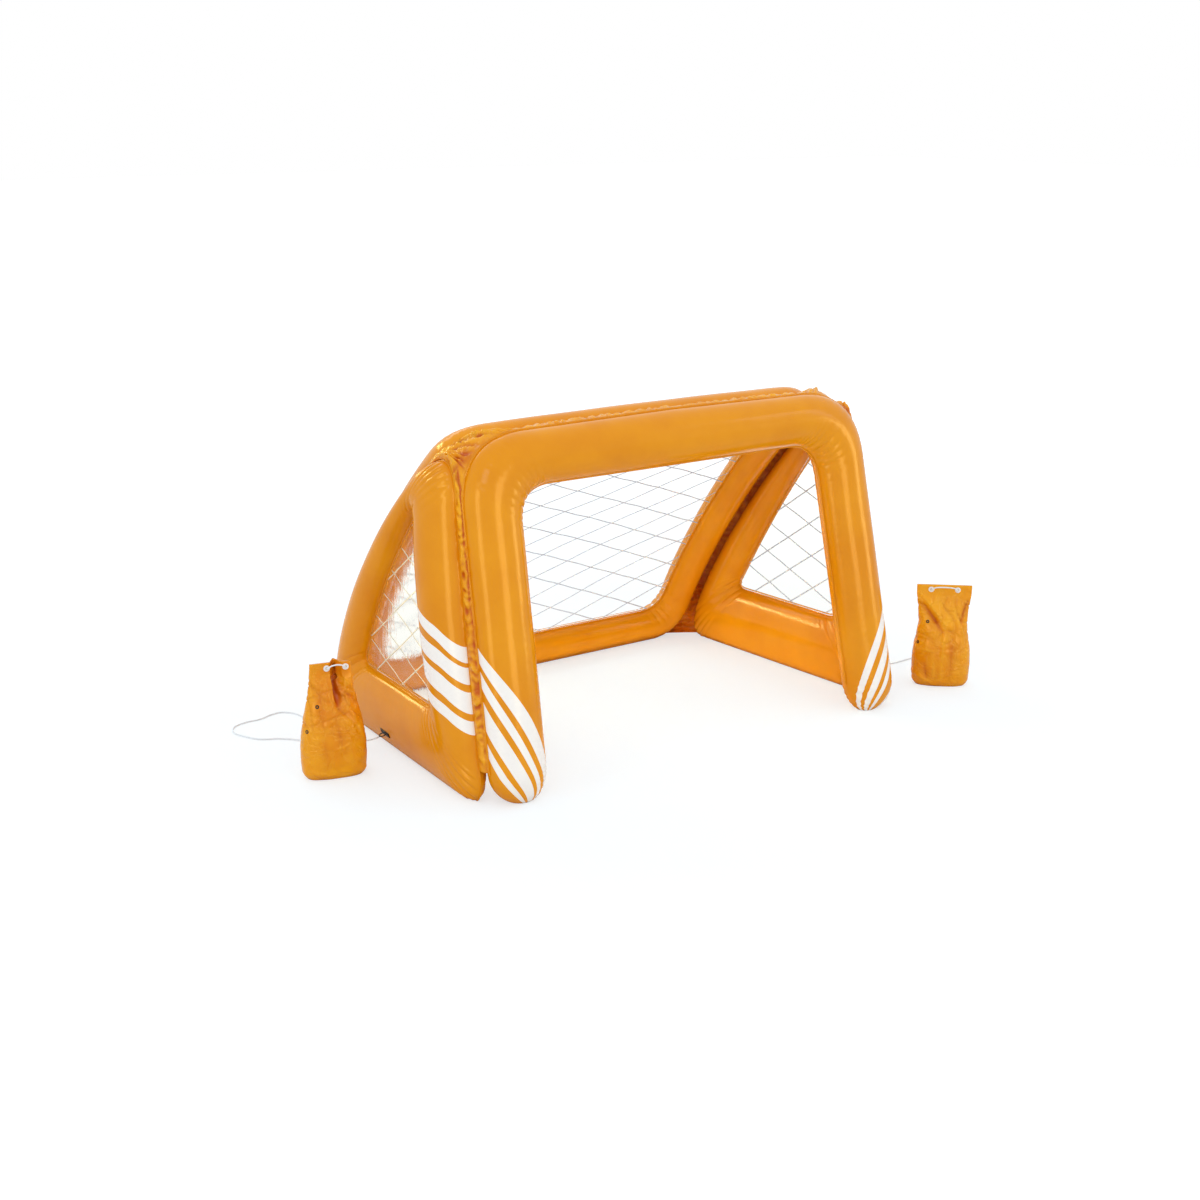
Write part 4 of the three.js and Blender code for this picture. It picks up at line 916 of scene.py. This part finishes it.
def add_side_ring(name):
    outer, inner = SIDE
    seed, lower = {"left": (3.4, 0.0), "right": (5.2, RIGHT_BANDS_LOWER)}[name]
    points, xy, angle = tube_points(
        outer, inner, np.full(len(outer), SIDE_THICK / 2), on_side, TUBE_SIDES, True, seed, 1.7)
    bands = side_bands(xy[..., 0], xy[..., 1], angle[None], lower)
    shell = Shell().grid(points, wrap_rows=True, extra=bands)
    finish_chamber(f"side_ring_{name}", shell, outer, inner, on_side, mirror=name == "left")


add_front_frame()
add_back_ring()
for side_name in SIDES:
    add_side_ring(side_name)

# Clear windows, and the net printed on them


def slack(u, v, edge):
    """How far the film stands off its surface, given the distance to its rim."""
    loose = np.minimum(edge / 60, 1)
    puckers = 1.1 * np.sin(v / 4.7 + 1.5 * np.sin(u / 31)) * np.exp(-edge / 30) * smoothstep(3, 16, edge)
    return loose * (2.2 * np.sin(u / 87 + 0.8) * np.sin(v / 74 + 0.3) + 0.9 * np.sin(u / 23 + v / 41)) + puckers


def rim_distance(u, v, outline):
    a, b = outline, np.roll(outline, -1, 0)
    p = np.stack([np.ravel(u), np.ravel(v)], 1)[:, None]
    run = b - a
    t = np.clip(((p - a) * run).sum(-1) / np.maximum((run**2).sum(-1), 1e-9), 0, 1)
    return np.linalg.norm(p - (a + run * t[..., None]), axis=-1).min(1).reshape(np.shape(u))


def inside(p, outline):
    a, b = outline, np.roll(outline, -1, 0)
    x, y = p[:, :1], p[:, 1:]
    crosses = (a[:, 1] > y) != (b[:, 1] > y)
    with np.errstate(divide="ignore", invalid="ignore"):
        at = (b[:, 0] - a[:, 0]) * (y - a[:, 1]) / (b[:, 1] - a[:, 1]) + a[:, 0]
    return (crosses & (x < at)).sum(1) % 2 == 1


def net_lines(outline, cell, shift, slope):
    """The parts of two families of parallel lines that lie inside the window."""
    window = inset(outline, NET_BORDER)
    fine = window[:: max(1, len(window) // 300)]
    centre = (window.min(0) + window.max(0)) / 2 + shift
    size = np.linalg.norm(window.max(0) - window.min(0))
    tilt = math.atan(slope)
    count = math.ceil(size / cell[1])
    for lean in (-1, 1):
        a = tilt + lean * math.atan2(cell[1], cell[0])
        direction = np.array((math.cos(a), math.sin(a)))
        for i in range(-count, count + 1):
            base = centre + np.array((-math.sin(tilt), math.cos(tilt))) * i * cell[1]
            p = base + direction * np.arange(-size, size, 1.5)[:, None]
            edges = np.flatnonzero(np.diff(np.r_[0, inside(p, fine).astype(int), 0]))
            for start, stop in zip(edges[::2], edges[1::2]):
                if stop - start > 4:
                    yield resampled(p[start:stop], max(3, (stop - start) // 5))


def add_window(panel, side, outline, place, cell, shift, slope):
    """A film with its net print. Side is empty for the back, or an underscore and the side's name."""
    name, mirror = panel + side, side == "_left"
    rim = outline[:: max(1, len(outline) // 160)]

    def film_place(u, v, out=0.0):
        return place(u, v, slack(u, v, rim_distance(u, v, rim)) + out)

    # The film is drawn in rings from its rim to its middle
    share = np.r_[np.linspace(0, 0.3, 12), np.linspace(0.3, 0.995, 22)[1:]]
    flat = outline[None] + (outline.mean(0) - outline)[None] * share[:, None, None]
    n = len(outline)
    below = len(share) * n
    faces = grid_faces(len(share), n, False, True)
    faces.append([below - n + k for k in range(n)])
    shell = Shell().add(film_place(flat[..., 0], flat[..., 1]), faces)
    shell.add(film_place(flat[..., 0], flat[..., 1], -FILM_THICK / 2), [f[::-1] for f in faces])
    shell.faces += [(k, (k + 1) % n, below + (k + 1) % n, below + k) for k in range(n)]
    shell.object(f"{name}_film_skin", FILMS[name], f"{panel}_film{side}", mirror=mirror)

    net = Shell()
    out = -(FILM_THICK / 2 + NET_THICK / 2 + GAP)

    def ribbon(line, width, closed=False):
        along = np.roll(line, -1, 0) - np.roll(line, 1, 0) if closed else np.gradient(line, axis=0)
        along = unit(along)
        aside = np.stack([-along[:, 1], along[:, 0]], 1) * width / 2
        rings = []
        for reach, raised in ((1, -0.3), (0.55, 0.45), (-0.55, 0.45), (-1, -0.3)):
            p = line + aside * reach
            rings.append(film_place(p[:, 0], p[:, 1], out - raised * NET_THICK))
        rings = np.stack(rings, 1)
        net.grid(rings, closed, not closed, np.full(rings.shape[:2], 1.0 if closed else -1.0))

    for line in net_lines(outline, cell, shift, slope):
        ribbon(line, NET_LINE)
    ribbon(inset(outline, NET_BORDER + NET_BORDER / 2)[::2], NET_BORDER, closed=True)
    net.object(f"{name}_net_print", LIT_PRINT if mirror else SHADED_PRINT, f"{panel}_net{side}", mirror=mirror)


add_window("back", "", inset(BACK[1], GAP), on_back, cell=(184, 86), shift=(52, -30), slope=0)
for side_name in SIDES:
    add_window(
        "side", f"_{side_name}", inset(SIDE[1], GAP), on_side, cell=(166, 88), shift=(6, -35), slope=-LEAN * 0.55)

# Ruffled strips and crinkled webs between the panels


def sheet(points):
    """A sheet of points with a fourth value each: how high they stand in their folds, less a painted crease; it
    sets their painted shade and highlight.
    """
    flat = points[..., :3]
    normal = unit(np.cross(np.gradient(flat, axis=0), np.gradient(flat, axis=1)) + 1e-12)
    half = normal * WEB_THICK / 2
    both = np.concatenate([flat + half, (flat - half)[:, ::-1]], 1)
    relief = np.concatenate([points[..., 3], points[:, ::-1, 3]], 1)
    rows, columns = both.shape[:2]
    faces = grid_faces(rows, columns, False, True)
    for base in (0, (rows - 1) * columns):
        faces += [[base + k, base + k + 1, base + columns - 2 - k, base + columns - 1 - k]
                  for k in range(columns // 2 - 1)]
    return Shell().add(both, faces, relief)


def wrinkled(
        edge_a, edge_b, rows, crown, depth, raise_to, seed, scale=0.035, crease=((0, 1), (0, 0))):
    """A web between two edges, lifted in its middle and crumpled, with a crease of painted shade beside its first
    edge, in colour only.
    """
    share = np.linspace(0, 1, rows)[None, :]
    points = edge_a[:, None] * (1 - share[..., None]) + edge_b[:, None] * share[..., None]
    middle = 4 * share * (1 - share)
    s = length_along(edge_a)[:, None]
    folds = np.sin(
        s / 4.4 + 2.6 * np.sin(s / 23 + seed) + 1.3 * np.sin(s / 9.7 + 2 * seed)
        + 1.2 * np.sin(share * 5 + s / 31))
    flat = points.reshape(-1, 3) * scale + seed
    rough = np.array([noise.noise(Vector(p)) for p in flat]).reshape(folds.shape)
    sharp = 1 - 2 * np.abs(rough) ** 0.7
    along = s / s[-1]
    crowned = crown if np.isscalar(crown) else np.interp(along, *crown)
    calm = smoothstep(0, 0.05, along) * smoothstep(0, 0.05, 1 - along)
    relief = middle * calm * (0.55 * folds + 0.9 * sharp)
    lifted = points + unit(raise_to) * (middle * crowned + depth * relief)[..., None]
    # The crease beside the first edge is painted shade only: it darkens the colour and does not move the web
    beside = np.interp(along, *crease) * np.exp(-((share - 0.2 - 0.05 * np.sin(s / 19)) / 0.11) ** 2)
    return np.concatenate([lifted, (relief - beside)[..., None]], -1)


def add_pair(name, look, points):
    for side in SIDES:
        sheet(points).object(f"{name}_{side}_skin", look, f"{name}_{side}", mirror=side == "left", lift=True)


def edge_at(outline, x):
    order = np.argsort(outline[:, 0])
    return np.interp(x, outline[order, 0], outline[order, 1])


def add_front_seams():
    heights = np.linspace(78, SIDE_TAPER + 5, 200)
    add_pair("front_seam", WELD, wrinkled(
        on_front(leg_edge(heights) + SEAM_END, heights),
        laid(on_side, front_edge(heights, SIDE_SET - SEAM_END)),
        rows=19, crown=((0, 0.9, 1), (7, 7, 0)), depth=4.6, raise_to=(1, -1, 0), seed=1.7, scale=0.05,
        crease=((0, 0.6, 1), (0.3, 0.7, 1.4))))


# The webs at the top end this far outside the chambers' edges
RIM = 3.2 * SEAM_END


def add_rear_seams():
    runs = np.linspace(BACK_ROUND + 2 * RIM, ARCH_END, 190)
    _, arch_y, arch_z = on_back(0, runs, SEAM_END - ARCH_SET).T
    strip = wrinkled(
        on_back(back_reach(runs) + SEAM_END, runs), on_side(arch_y, arch_z),
        rows=13, crown=2.0, depth=2.2, raise_to=(1, 1, 0), seed=4.1)
    # The strip lies deep between two chambers, so its folds hardly show, and it carries painted shade all along
    strip[..., 3] = 0.3 * strip[..., 3] - 0.4
    add_pair("rear_seam", SHADED_WELD, strip)


def add_top_seam(seam_half):
    reach = seam_half + 30
    across = np.linspace(-reach, reach, 330)
    bar_crown = edge_at(FRONT[0][FRONT[0][:, 1] > FRONT_HEIGHT - 60], across)
    back_crown = edge_at(BACK[0][BACK[0][:, 1] < 60], across) - SEAM_END
    strip = wrinkled(
        on_front(across, bar_crown + SEAM_END), on_back(across, back_crown),
        rows=15, crown=((0, 0.08, 0.92, 1), (0, 6, 6, 0)), depth=5.0, raise_to=(0, 0, 1), seed=7.3)
    sheet(strip).object("top_seam_skin", WELD, "top_seam")


def add_corner_gussets(seam_half):
    rim = inset(FRONT[0], -RIM)
    front = rim[(rim[:, 0] > seam_half) & (rim[:, 1] > SIDE_TAPER)]
    _, turn_y, turn_z = on_back(0, BACK_ROUND, RIM - ARCH_SET)
    behind = np.vstack([
        laid(on_side, inset(SIDE[0], -RIM)[:SIDE_CORNER + 1]),
        on_side(turn_y, turn_z)[None],
        laid(on_back, inset(BACK[0], -RIM)[:BACK_CORNER + 1][::-1]),
    ])
    add_pair("corner_gusset", WELD, wrinkled(
        resampled(laid(on_front, front), 170), resampled(behind, 170),
        rows=41, crown=((0, 0.22, 0.8, 1), (0, 20, 16, 0)), depth=6.5, raise_to=(1, 0, 2), seed=2.9, scale=0.06,
        crease=((0, 0.35, 0.6), (1.4, 0.8, 0.0))))


def add_rear_gussets():
    start = SIDE_CORNER + SIDE_ARCHES
    heel = inset(SIDE[0], -SEAM_END)[start - 1: start + SIDE_CORNER + 1]
    heel = heel[heel[:, 1] > SEAM_END]
    start = BACK_CORNER + 1 + len(POSTS)
    rim = inset(BACK[0], -SEAM_END)[start: start + BACK_CORNER + 1]
    rim = rim[rim[:, 1] > ARCH_END]
    behind = np.vstack([on_back(back_reach(ARCH_END) + SEAM_END, ARCH_END)[None], laid(on_back, rim)])
    behind = behind[behind[:, 2] > SEAM_END]
    add_pair("rear_gusset", SHADED_WELD, wrinkled(
        resampled(laid(on_side, heel), 110), resampled(behind, 110),
        rows=27, crown=3.0, depth=6.0, raise_to=(1, 1, 0), seed=6.1, scale=0.05))


SEAM_HALF = min(leg_edge(FRONT_HEIGHT) - FRONT_ROUND, back_reach(0) - BACK_ROUND) - SEAM_END
add_front_seams()
add_rear_seams()
add_top_seam(SEAM_HALF)
add_corner_gussets(SEAM_HALF)
add_rear_gussets()

# Round pieces: valves, caps, loops, grommets and eyelets


def turned(outline, soft=0.35, sides=40):
    """A closed outline of radius and height turned round Z, its corners cut back to catch the light."""
    outline = np.array(outline, float)
    a = outline + unit(np.roll(outline, 1, 0) - outline) * soft
    b = outline + unit(np.roll(outline, -1, 0) - outline) * soft
    outline = np.stack([a, (a + b + 2 * outline) / 4, b], 1).reshape(-1, 2)
    r, z = outline[:, :1], outline[:, 1:]
    turn = circle(sides)
    return stack(r * np.cos(turn), r * np.sin(turn), z + 0 * turn)


def seated(seat, points, mirror=False):
    middle, normal, run = seat
    x = unit(run - normal * (run @ normal))
    y = np.cross(normal, x)
    placed = points[..., :1] * x + points[..., 1:2] * y + points[..., 2:] * normal + middle + normal * GAP
    return placed * ((-1, 1, 1) if mirror else (1, 1, 1))


def add_box(shell, seat, size, centre, mirror):
    x, y, z = (s / 2 for s in size)
    corner = np.array([(i * x, j * y, k * z) for i in (-1, 1) for j in (-1, 1) for k in (-1, 1)]) + centre
    faces = [(0, 1, 3, 2), (4, 6, 7, 5), (0, 4, 5, 1), (2, 3, 7, 6), (0, 2, 6, 4), (1, 5, 7, 3)]
    shell.add(seated(seat, corner, mirror), faces)


def add_bevel(made, width):
    bevel = made.modifiers.new("soft_edges", "BEVEL")
    bevel.width, bevel.segments, bevel.limit_method = width, 2, "ANGLE"


# A cap's strap and the lug that it bends over, and a tether loop's plate
STRAP_THICK, STRAP_START, STRAP_END, LUG_WIDTH, LUG_AT = 1.6, 7, 13.5, 6, 12.5
PLATE, RIVET_AT = (44, 13, 2.4), 17


def add_valve(name, seat, mirror):
    lug, strap, under = HINGE - STRAP_THICK, STRAP_END - STRAP_START, NECK_TOP + GAP
    ring = turned([(5.4, 0), (15, 0), (15, 1.6), (8, 1.6), (8, NECK_TOP), (5.4, NECK_TOP)])
    neck = Shell().grid(seated(seat, ring, mirror), wrap_rows=True)
    add_box(neck, seat, (3, LUG_WIDTH, lug), (LUG_AT, 0, lug / 2), mirror)
    neck.object(f"{name}_valve_neck", VALVE, f"{name}_valve")
    plug = turned([
        (0.3, under - 5), (3.4, under - 5), (4.6, under), (9, under), (9, under + 2), (6.5, under + 2),
        (6.2, under + 1.5), (0.3, under + 1.5),
    ], 0.25)
    cap = Shell().grid(seated(seat, plug, mirror), wrap_rows=True)
    add_box(cap, seat, (strap, LUG_WIDTH, STRAP_THICK), (STRAP_START + strap / 2, 0, HINGE), mirror)
    add_bevel(cap.object(f"{name}_valve_plug", VALVE, f"{name}_valve_cap", body=f"{name}_cap"), 0.0003)


add_valve("front_frame", tube_seat(*CAD_FRONT, 6, 10, on_front), True)
add_valve("side_ring_left", side_seat(4, 10), True)
add_valve("side_ring_right", side_seat(4, 3), False)
add_valve("back_ring", back_valve_seat(), False)


def add_loop(name):
    shell = Shell()
    mirror = name == "left"
    add_box(shell, LOOP_SEAT, PLATE, (0, 0, PLATE[2] / 2), mirror)
    for x in (-RIVET_AT, RIVET_AT):
        rivet = turned([(0.2, 2.3), (3.2, 2.3), (3.2, 3.2), (0.2, 3.4)], 0.2, 20) + (x, 0, 0)
        shell.grid(seated(LOOP_SEAT, rivet, mirror), wrap_rows=True)
    a = circle(48)
    upright = np.array((0, 1, 0))
    ring = stack(LOOP_RADIUS * np.cos(a), 0 * a, LOOP_RADIUS + LOOP_WIRE + LOOP_RADIUS * np.sin(a))
    side = unit(np.cross(np.roll(ring, -1, 0) - np.roll(ring, 1, 0), upright))
    b = circle(12)[None, :, None]
    tube = ring[:, None] + LOOP_WIRE * (side[:, None] * np.cos(b) + upright * np.sin(b))
    shell.grid(seated(LOOP_SEAT, tube, mirror), wrap_rows=True)
    add_bevel(shell.object(f"tether_ring_{name}", BLACK, f"tether_loop_{name}"), 0.0005)


for side_name in SIDES:
    add_loop(side_name)

# Anchor bags
HEM = BAG_DEPTH / 2 * 0.08
GROMMET_HEIGHT, GROMMET_THICK = BAG_HEIGHT - 12, 1.8
HANDLE_RISE, KNOT_SCALE, KNOT_CORD = 8, 0.95, 2.9


def bag_form(height):
    """The bag's width, depth and squareness at any height, smooth between its levels."""
    h = BAG_FORM[:, 0]
    slope = np.gradient(BAG_FORM[:, 1:], h, axis=0)
    i = np.clip(np.searchsorted(h, height, "right") - 1, 0, len(h) - 2)
    d = (h[i + 1] - h[i])[:, None]
    t = ((height - h[i]) / d[:, 0])[:, None]
    a, b = BAG_FORM[i, 1:], BAG_FORM[i + 1, 1:]
    made = (2 * t**3 - 3 * t * t + 1) * a + (t**3 - 2 * t * t + t) * d * slope[i]
    made += (-2 * t**3 + 3 * t * t) * b + (t**3 - t * t) * d * slope[i + 1]
    return np.clip(made, np.minimum(a, b) - 0.02, np.maximum(a, b) + 0.01)


def bag_creases(flat, seed):
    """Steep and slanting creases in a filled bag, -1 at their deepest, and its fine unevenness."""
    tall, slant, fine = (np.array([noise.noise(Vector(at(p))) for p in flat]) for at in (
        lambda p: (p[0] * 0.024 + p[2] * 0.012 + seed, p[1] * 0.02, p[2] * 0.01),
        lambda p: (p[0] * 0.014 - p[2] * 0.016, p[1] * 0.02 + seed, p[2] * 0.02 + p[0] * 0.011),
        lambda p: p * 0.05 + seed,
    ))
    return -(np.maximum(0, 1 - np.abs(tall) * 7) ** 2 + np.maximum(0, 1 - np.abs(slant) * 7) ** 2), fine


def add_bag_skin(name):
    bag = BAGS[name]
    levels = np.r_[0, 0.012, 0.03, np.linspace(0.05, 0.885, 84), 0.9, 0.915, np.linspace(0.93, 1, 10)]
    wide, deep, square = (bag_form(levels)[:, k][:, None] for k in range(3))
    h = levels[:, None]
    s = np.sin(np.linspace(-np.pi / 2, np.pi / 2, 61))[None]
    front = bag_point(s, -1, h, wide, deep, square, bag["fold"])
    back = bag_point(s[:, 1:-1], 1, h, wide, deep, square, bag["fold"])[:, ::-1]
    points = np.concatenate([front, back], 1)
    m, n = s.shape[1], points.shape[1]
    around = np.roll(points, -1, 1) - np.roll(points, 1, 1)
    normal = unit(np.cross(around, np.gradient(points, axis=0)) + 1e-9)
    normal *= np.sign(((points - points.mean(1, keepdims=True)) * normal).sum(-1, keepdims=True) + 1e-9)
    valleys, fine = (v.reshape(points.shape[:2]) for v in bag_creases(points.reshape(-1, 3), bag["seed"]))
    amount = smoothstep(0.0, 0.1, h) * (1 - smoothstep(0.84, 0.9, h)) * (0.8 + 2.2 * smoothstep(0.3, 0.6, h))
    lift = valleys * amount + fine * 0.7 * (1 - smoothstep(0.8, 0.88, h))
    # This value sets painted shade in the creases and painted highlights on their ridges, through the band
    # attribute
    shade_and_highlight = 0.25 * lift + 1.1
    scale = np.array((BAG_WIDTH / 2, BAG_HEIGHT))
    across = np.concatenate([s[0], s[0, 1:-1][::-1]])[None] * scale[0]
    ahead = np.r_[np.ones(m), np.zeros(m - 2)][None]
    for u0, h0, u1, h1, rise, width in bag["folds"]:
        a, b = (u0, h0) * scale, (u1, h1) * scale
        run = b - a
        px, pz = across - a[0], h * scale[1] - a[1]
        t = np.clip((px * run[0] + pz * run[1]) / (run @ run), 0, 1)
        far = np.hypot(px - t * run[0], pz - t * run[1])
        pressed = ahead * rise * np.exp(-far / width) * np.sin(np.pi * np.clip(t, 0.08, 0.92)) ** 0.5
        lift, shade_and_highlight = lift + pressed, shade_and_highlight + 0.8 * pressed
    for level, column in EYELETS.values():
        middle, _, _ = bag_seat(name, level, column)
        lift = lift * smoothstep(4, 16, np.linalg.norm(points - middle, axis=-1))
    points = points + normal * lift[..., None]
    points[..., 2] = np.where(h > 0.9, np.minimum(points[..., 2], BAG_HEIGHT), points[..., 2])
    shell = Shell().grid(bag_place(name, points), extra=np.clip(shade_and_highlight / 5, -1.2, 1.2))
    last = (len(levels) - 1) * n
    for i in range(m - 1):
        quad = list(dict.fromkeys([i, i + 1, (n - i - 1) % n, (n - i) % n]))
        shell.faces += [tuple(quad[::-1]), tuple(last + k for k in quad)]
    shell.object(f"anchor_bag_{name}_skin", BAG, f"anchor_bag_{name}", body=f"bag_{name}", lift=True)


# The level and column of the source's bag that each eyelet sits on
EYELETS = {"upper": (6, 2), "lower": (4, 1)}


def add_ring(piece, look, name, points):
    ring = Shell().grid(bag_place(name, points), wrap_rows=True)
    ring.object(f"{piece}_ring", look, piece, body=f"bag_{name}")


def add_rings(name, holes):
    """The grommets on both faces of the hem, and the eyelets on the front."""
    grommet = turned([
        (2.65, 0), (7.5, 0), (7.5, 0.9), (6.2, GROMMET_THICK), (3.4, GROMMET_THICK), (2.65, 1.0),
    ], 0.3)
    for i, x in enumerate(holes, 1):
        for where, sign in (("front", -1), ("back", 1)):
            out = sign * (grommet[..., 2] + HEM + GAP)
            ring = stack(grommet[..., 0] + x, out, grommet[..., 1] + GROMMET_HEIGHT)
            add_ring(f"grommet_{name}_{where}_{i}", WHITE, name, ring)
    eyelet = turned([
        (0.4, 0), (4.6, 0), (4.6, 0.8), (3.4, 1.6), (2.2, 1.6), (1.6, 0.5), (0.4, 0.4),
    ], 0.2, 28)
    for where, (level, column) in EYELETS.items():
        ring = seated(bag_seat(name, level, column), eyelet)
        add_ring(f"eyelet_{name}_{where}", BLACK, name, ring)


def add_handle(name, holes):
    """The cord through both grommets, with a knot behind each."""
    front_y = -(HEM + GAP + GROMMET_THICK)
    behind = HEM + GAP + GROMMET_THICK + GAP + KNOT
    bend = 1.2 * HANDLE

    def threaded(x, inward):
        return [
            (x, behind, GROMMET_HEIGHT), (x, front_y, GROMMET_HEIGHT),
            (x + inward * bend / 2, front_y - bend, GROMMET_HEIGHT + HANDLE_RISE * 0.15),
            (x + inward * 2 * bend, front_y - 1.2 * bend, GROMMET_HEIGHT + HANDLE_RISE * 0.7),
        ]

    crown = (sum(holes) / 2, front_y - 1.2 * bend, GROMMET_HEIGHT + HANDLE_RISE)
    route = np.array([*threaded(holes[0], 1), crown, *threaded(holes[1], -1)[::-1]], float)
    shell = cord_shell(bag_place(name, catmull(route, 14)), HANDLE, 14)
    t = np.linspace(0, 2 * np.pi, 60)
    trefoil = stack(np.sin(t) + 2 * np.sin(2 * t), 1.6 * np.sin(3 * t), np.cos(t) - 2 * np.cos(2 * t))
    for x in holes:
        knot = bag_place(name, trefoil * KNOT_SCALE + (x, behind, GROMMET_HEIGHT))
        cord_shell(knot, KNOT_CORD, 10, shell)
    shell.object(f"handle_cord_{name}_rope", ROPE, f"handle_cord_{name}", body=f"bag_{name}")


for side_name in SIDES:
    bag_reach = BAG_WIDTH / 2 * 0.94 * bag_narrowing(BAGS[side_name]["fold"])
    holes_at = [share * bag_reach for share in BAGS[side_name]["grommets"]]
    add_bag_skin(side_name)
    add_rings(side_name, holes_at)
    add_handle(side_name, holes_at)

# Floor, light and background
FLOOR_HALF = 30
FLOOR_LIT, FLOOR_SEEN = (0.8, 0.8, 0.8, 1), (0.35, 0.41, 0.45, 1)
GLOW_START, GLOW_END, GLOW_FAR = 0.63, 0.84, 4.0


def add_floor():
    h = FLOOR_HALF
    mesh = bpy.data.meshes.new("floor")
    mesh.from_pydata([(-h, -h, 0), (h, -h, 0), (h, h, 0), (-h, h, 0)], [], [(0, 1, 2, 3)])
    new_object("floor", mesh)
    made, nodes = material("floor")
    seen = nodes.seen()
    # The glow grows away from the object, so that the floor stays white where the lamps don't reach it
    far = nodes.add("VectorMath", {0: nodes.place()}, "Value", operation="LENGTH")
    glow = nodes.math("MULTIPLY", seen, nodes.spread(far, GLOW_START, GLOW_END, 1.0, GLOW_FAR))
    nodes.finish(
        "Principled BSDF", Base_Color=nodes.blend(seen, FLOOR_LIT, FLOOR_SEEN), Roughness=0.9,
        Specular_IOR_Level=0.1, Emission_Color=(1, 1, 1, 1), Emission_Strength=glow)
    mesh.materials.append(made)


def add_world():
    world = bpy.data.worlds.new("studio")
    bpy.context.scene.world = world
    nodes = Nodes(world)
    nodes.finish("Background", Color=(1, 1, 1, 1), Strength=nodes.spread(nodes.seen(), 0.95, 1.0))


def add_lamp(name, place, target, size, power, kind="plain"):
    """A square lamp. A gleam is golden, seen in the shine only; a hidden lamp lights, but is not seen."""
    data = bpy.data.lights.new(name, "AREA")
    data.shape = "RECTANGLE"
    data.size, data.size_y, data.energy = size[0], size[1], power
    lamp = new_object(name, data)
    lamp.visible_diffuse = kind != "gleam"
    lamp.visible_camera = lamp.visible_glossy = lamp.visible_transmission = kind != "hidden"
    if kind == "gleam":
        data.color = (1.0, 0.74, 0.26)
    place = Vector(place)
    facing = (Vector(target) - place).to_track_quat("-Z", "Y").to_matrix().to_4x4()
    lamp.matrix_world = Matrix.Translation(place) @ facing


add_floor()
add_world()
for lamp_form in (
    ("key", (-2.6, -2.6, 3.4), (0, 0, 0.3), (1.3, 1.3), 14),
    ("fill", (3.0, -2.4, 2.4), (0, 0, 0.3), (0.6, 1.4), 5),
    ("rim", (-0.3, 2.9, 2.7), (0.3, 0, 0.2), (2.4, 0.8), 12),
    ("bounce", (0.1, 0.05, 0.012), (0.1, 0.05, 1), (1.0, 0.6), 0.9, "hidden"),
    ("strip_left", (-3.4, -1.7, 1.2), (-0.4, -0.3, 0.4), (1.0, 2.2), 46, "gleam"),
    ("strip_front", (0.2, -4.6, 1.5), (0, -0.3, 0.4), (1.5, 2.4), 80, "gleam"),
    ("strip_right", (3.4, -2.6, 0.9), (0.2, -0.3, 0.5), (1.0, 1.4), 34, "gleam"),
    ("strip_behind", (-1.6, 2.8, 1.9), (0.6, 0, 0.12), (1.6, 0.35), 36, "gleam"),
):
    add_lamp(*lamp_form)

bpy.context.scene.view_settings.view_transform = "Standard"
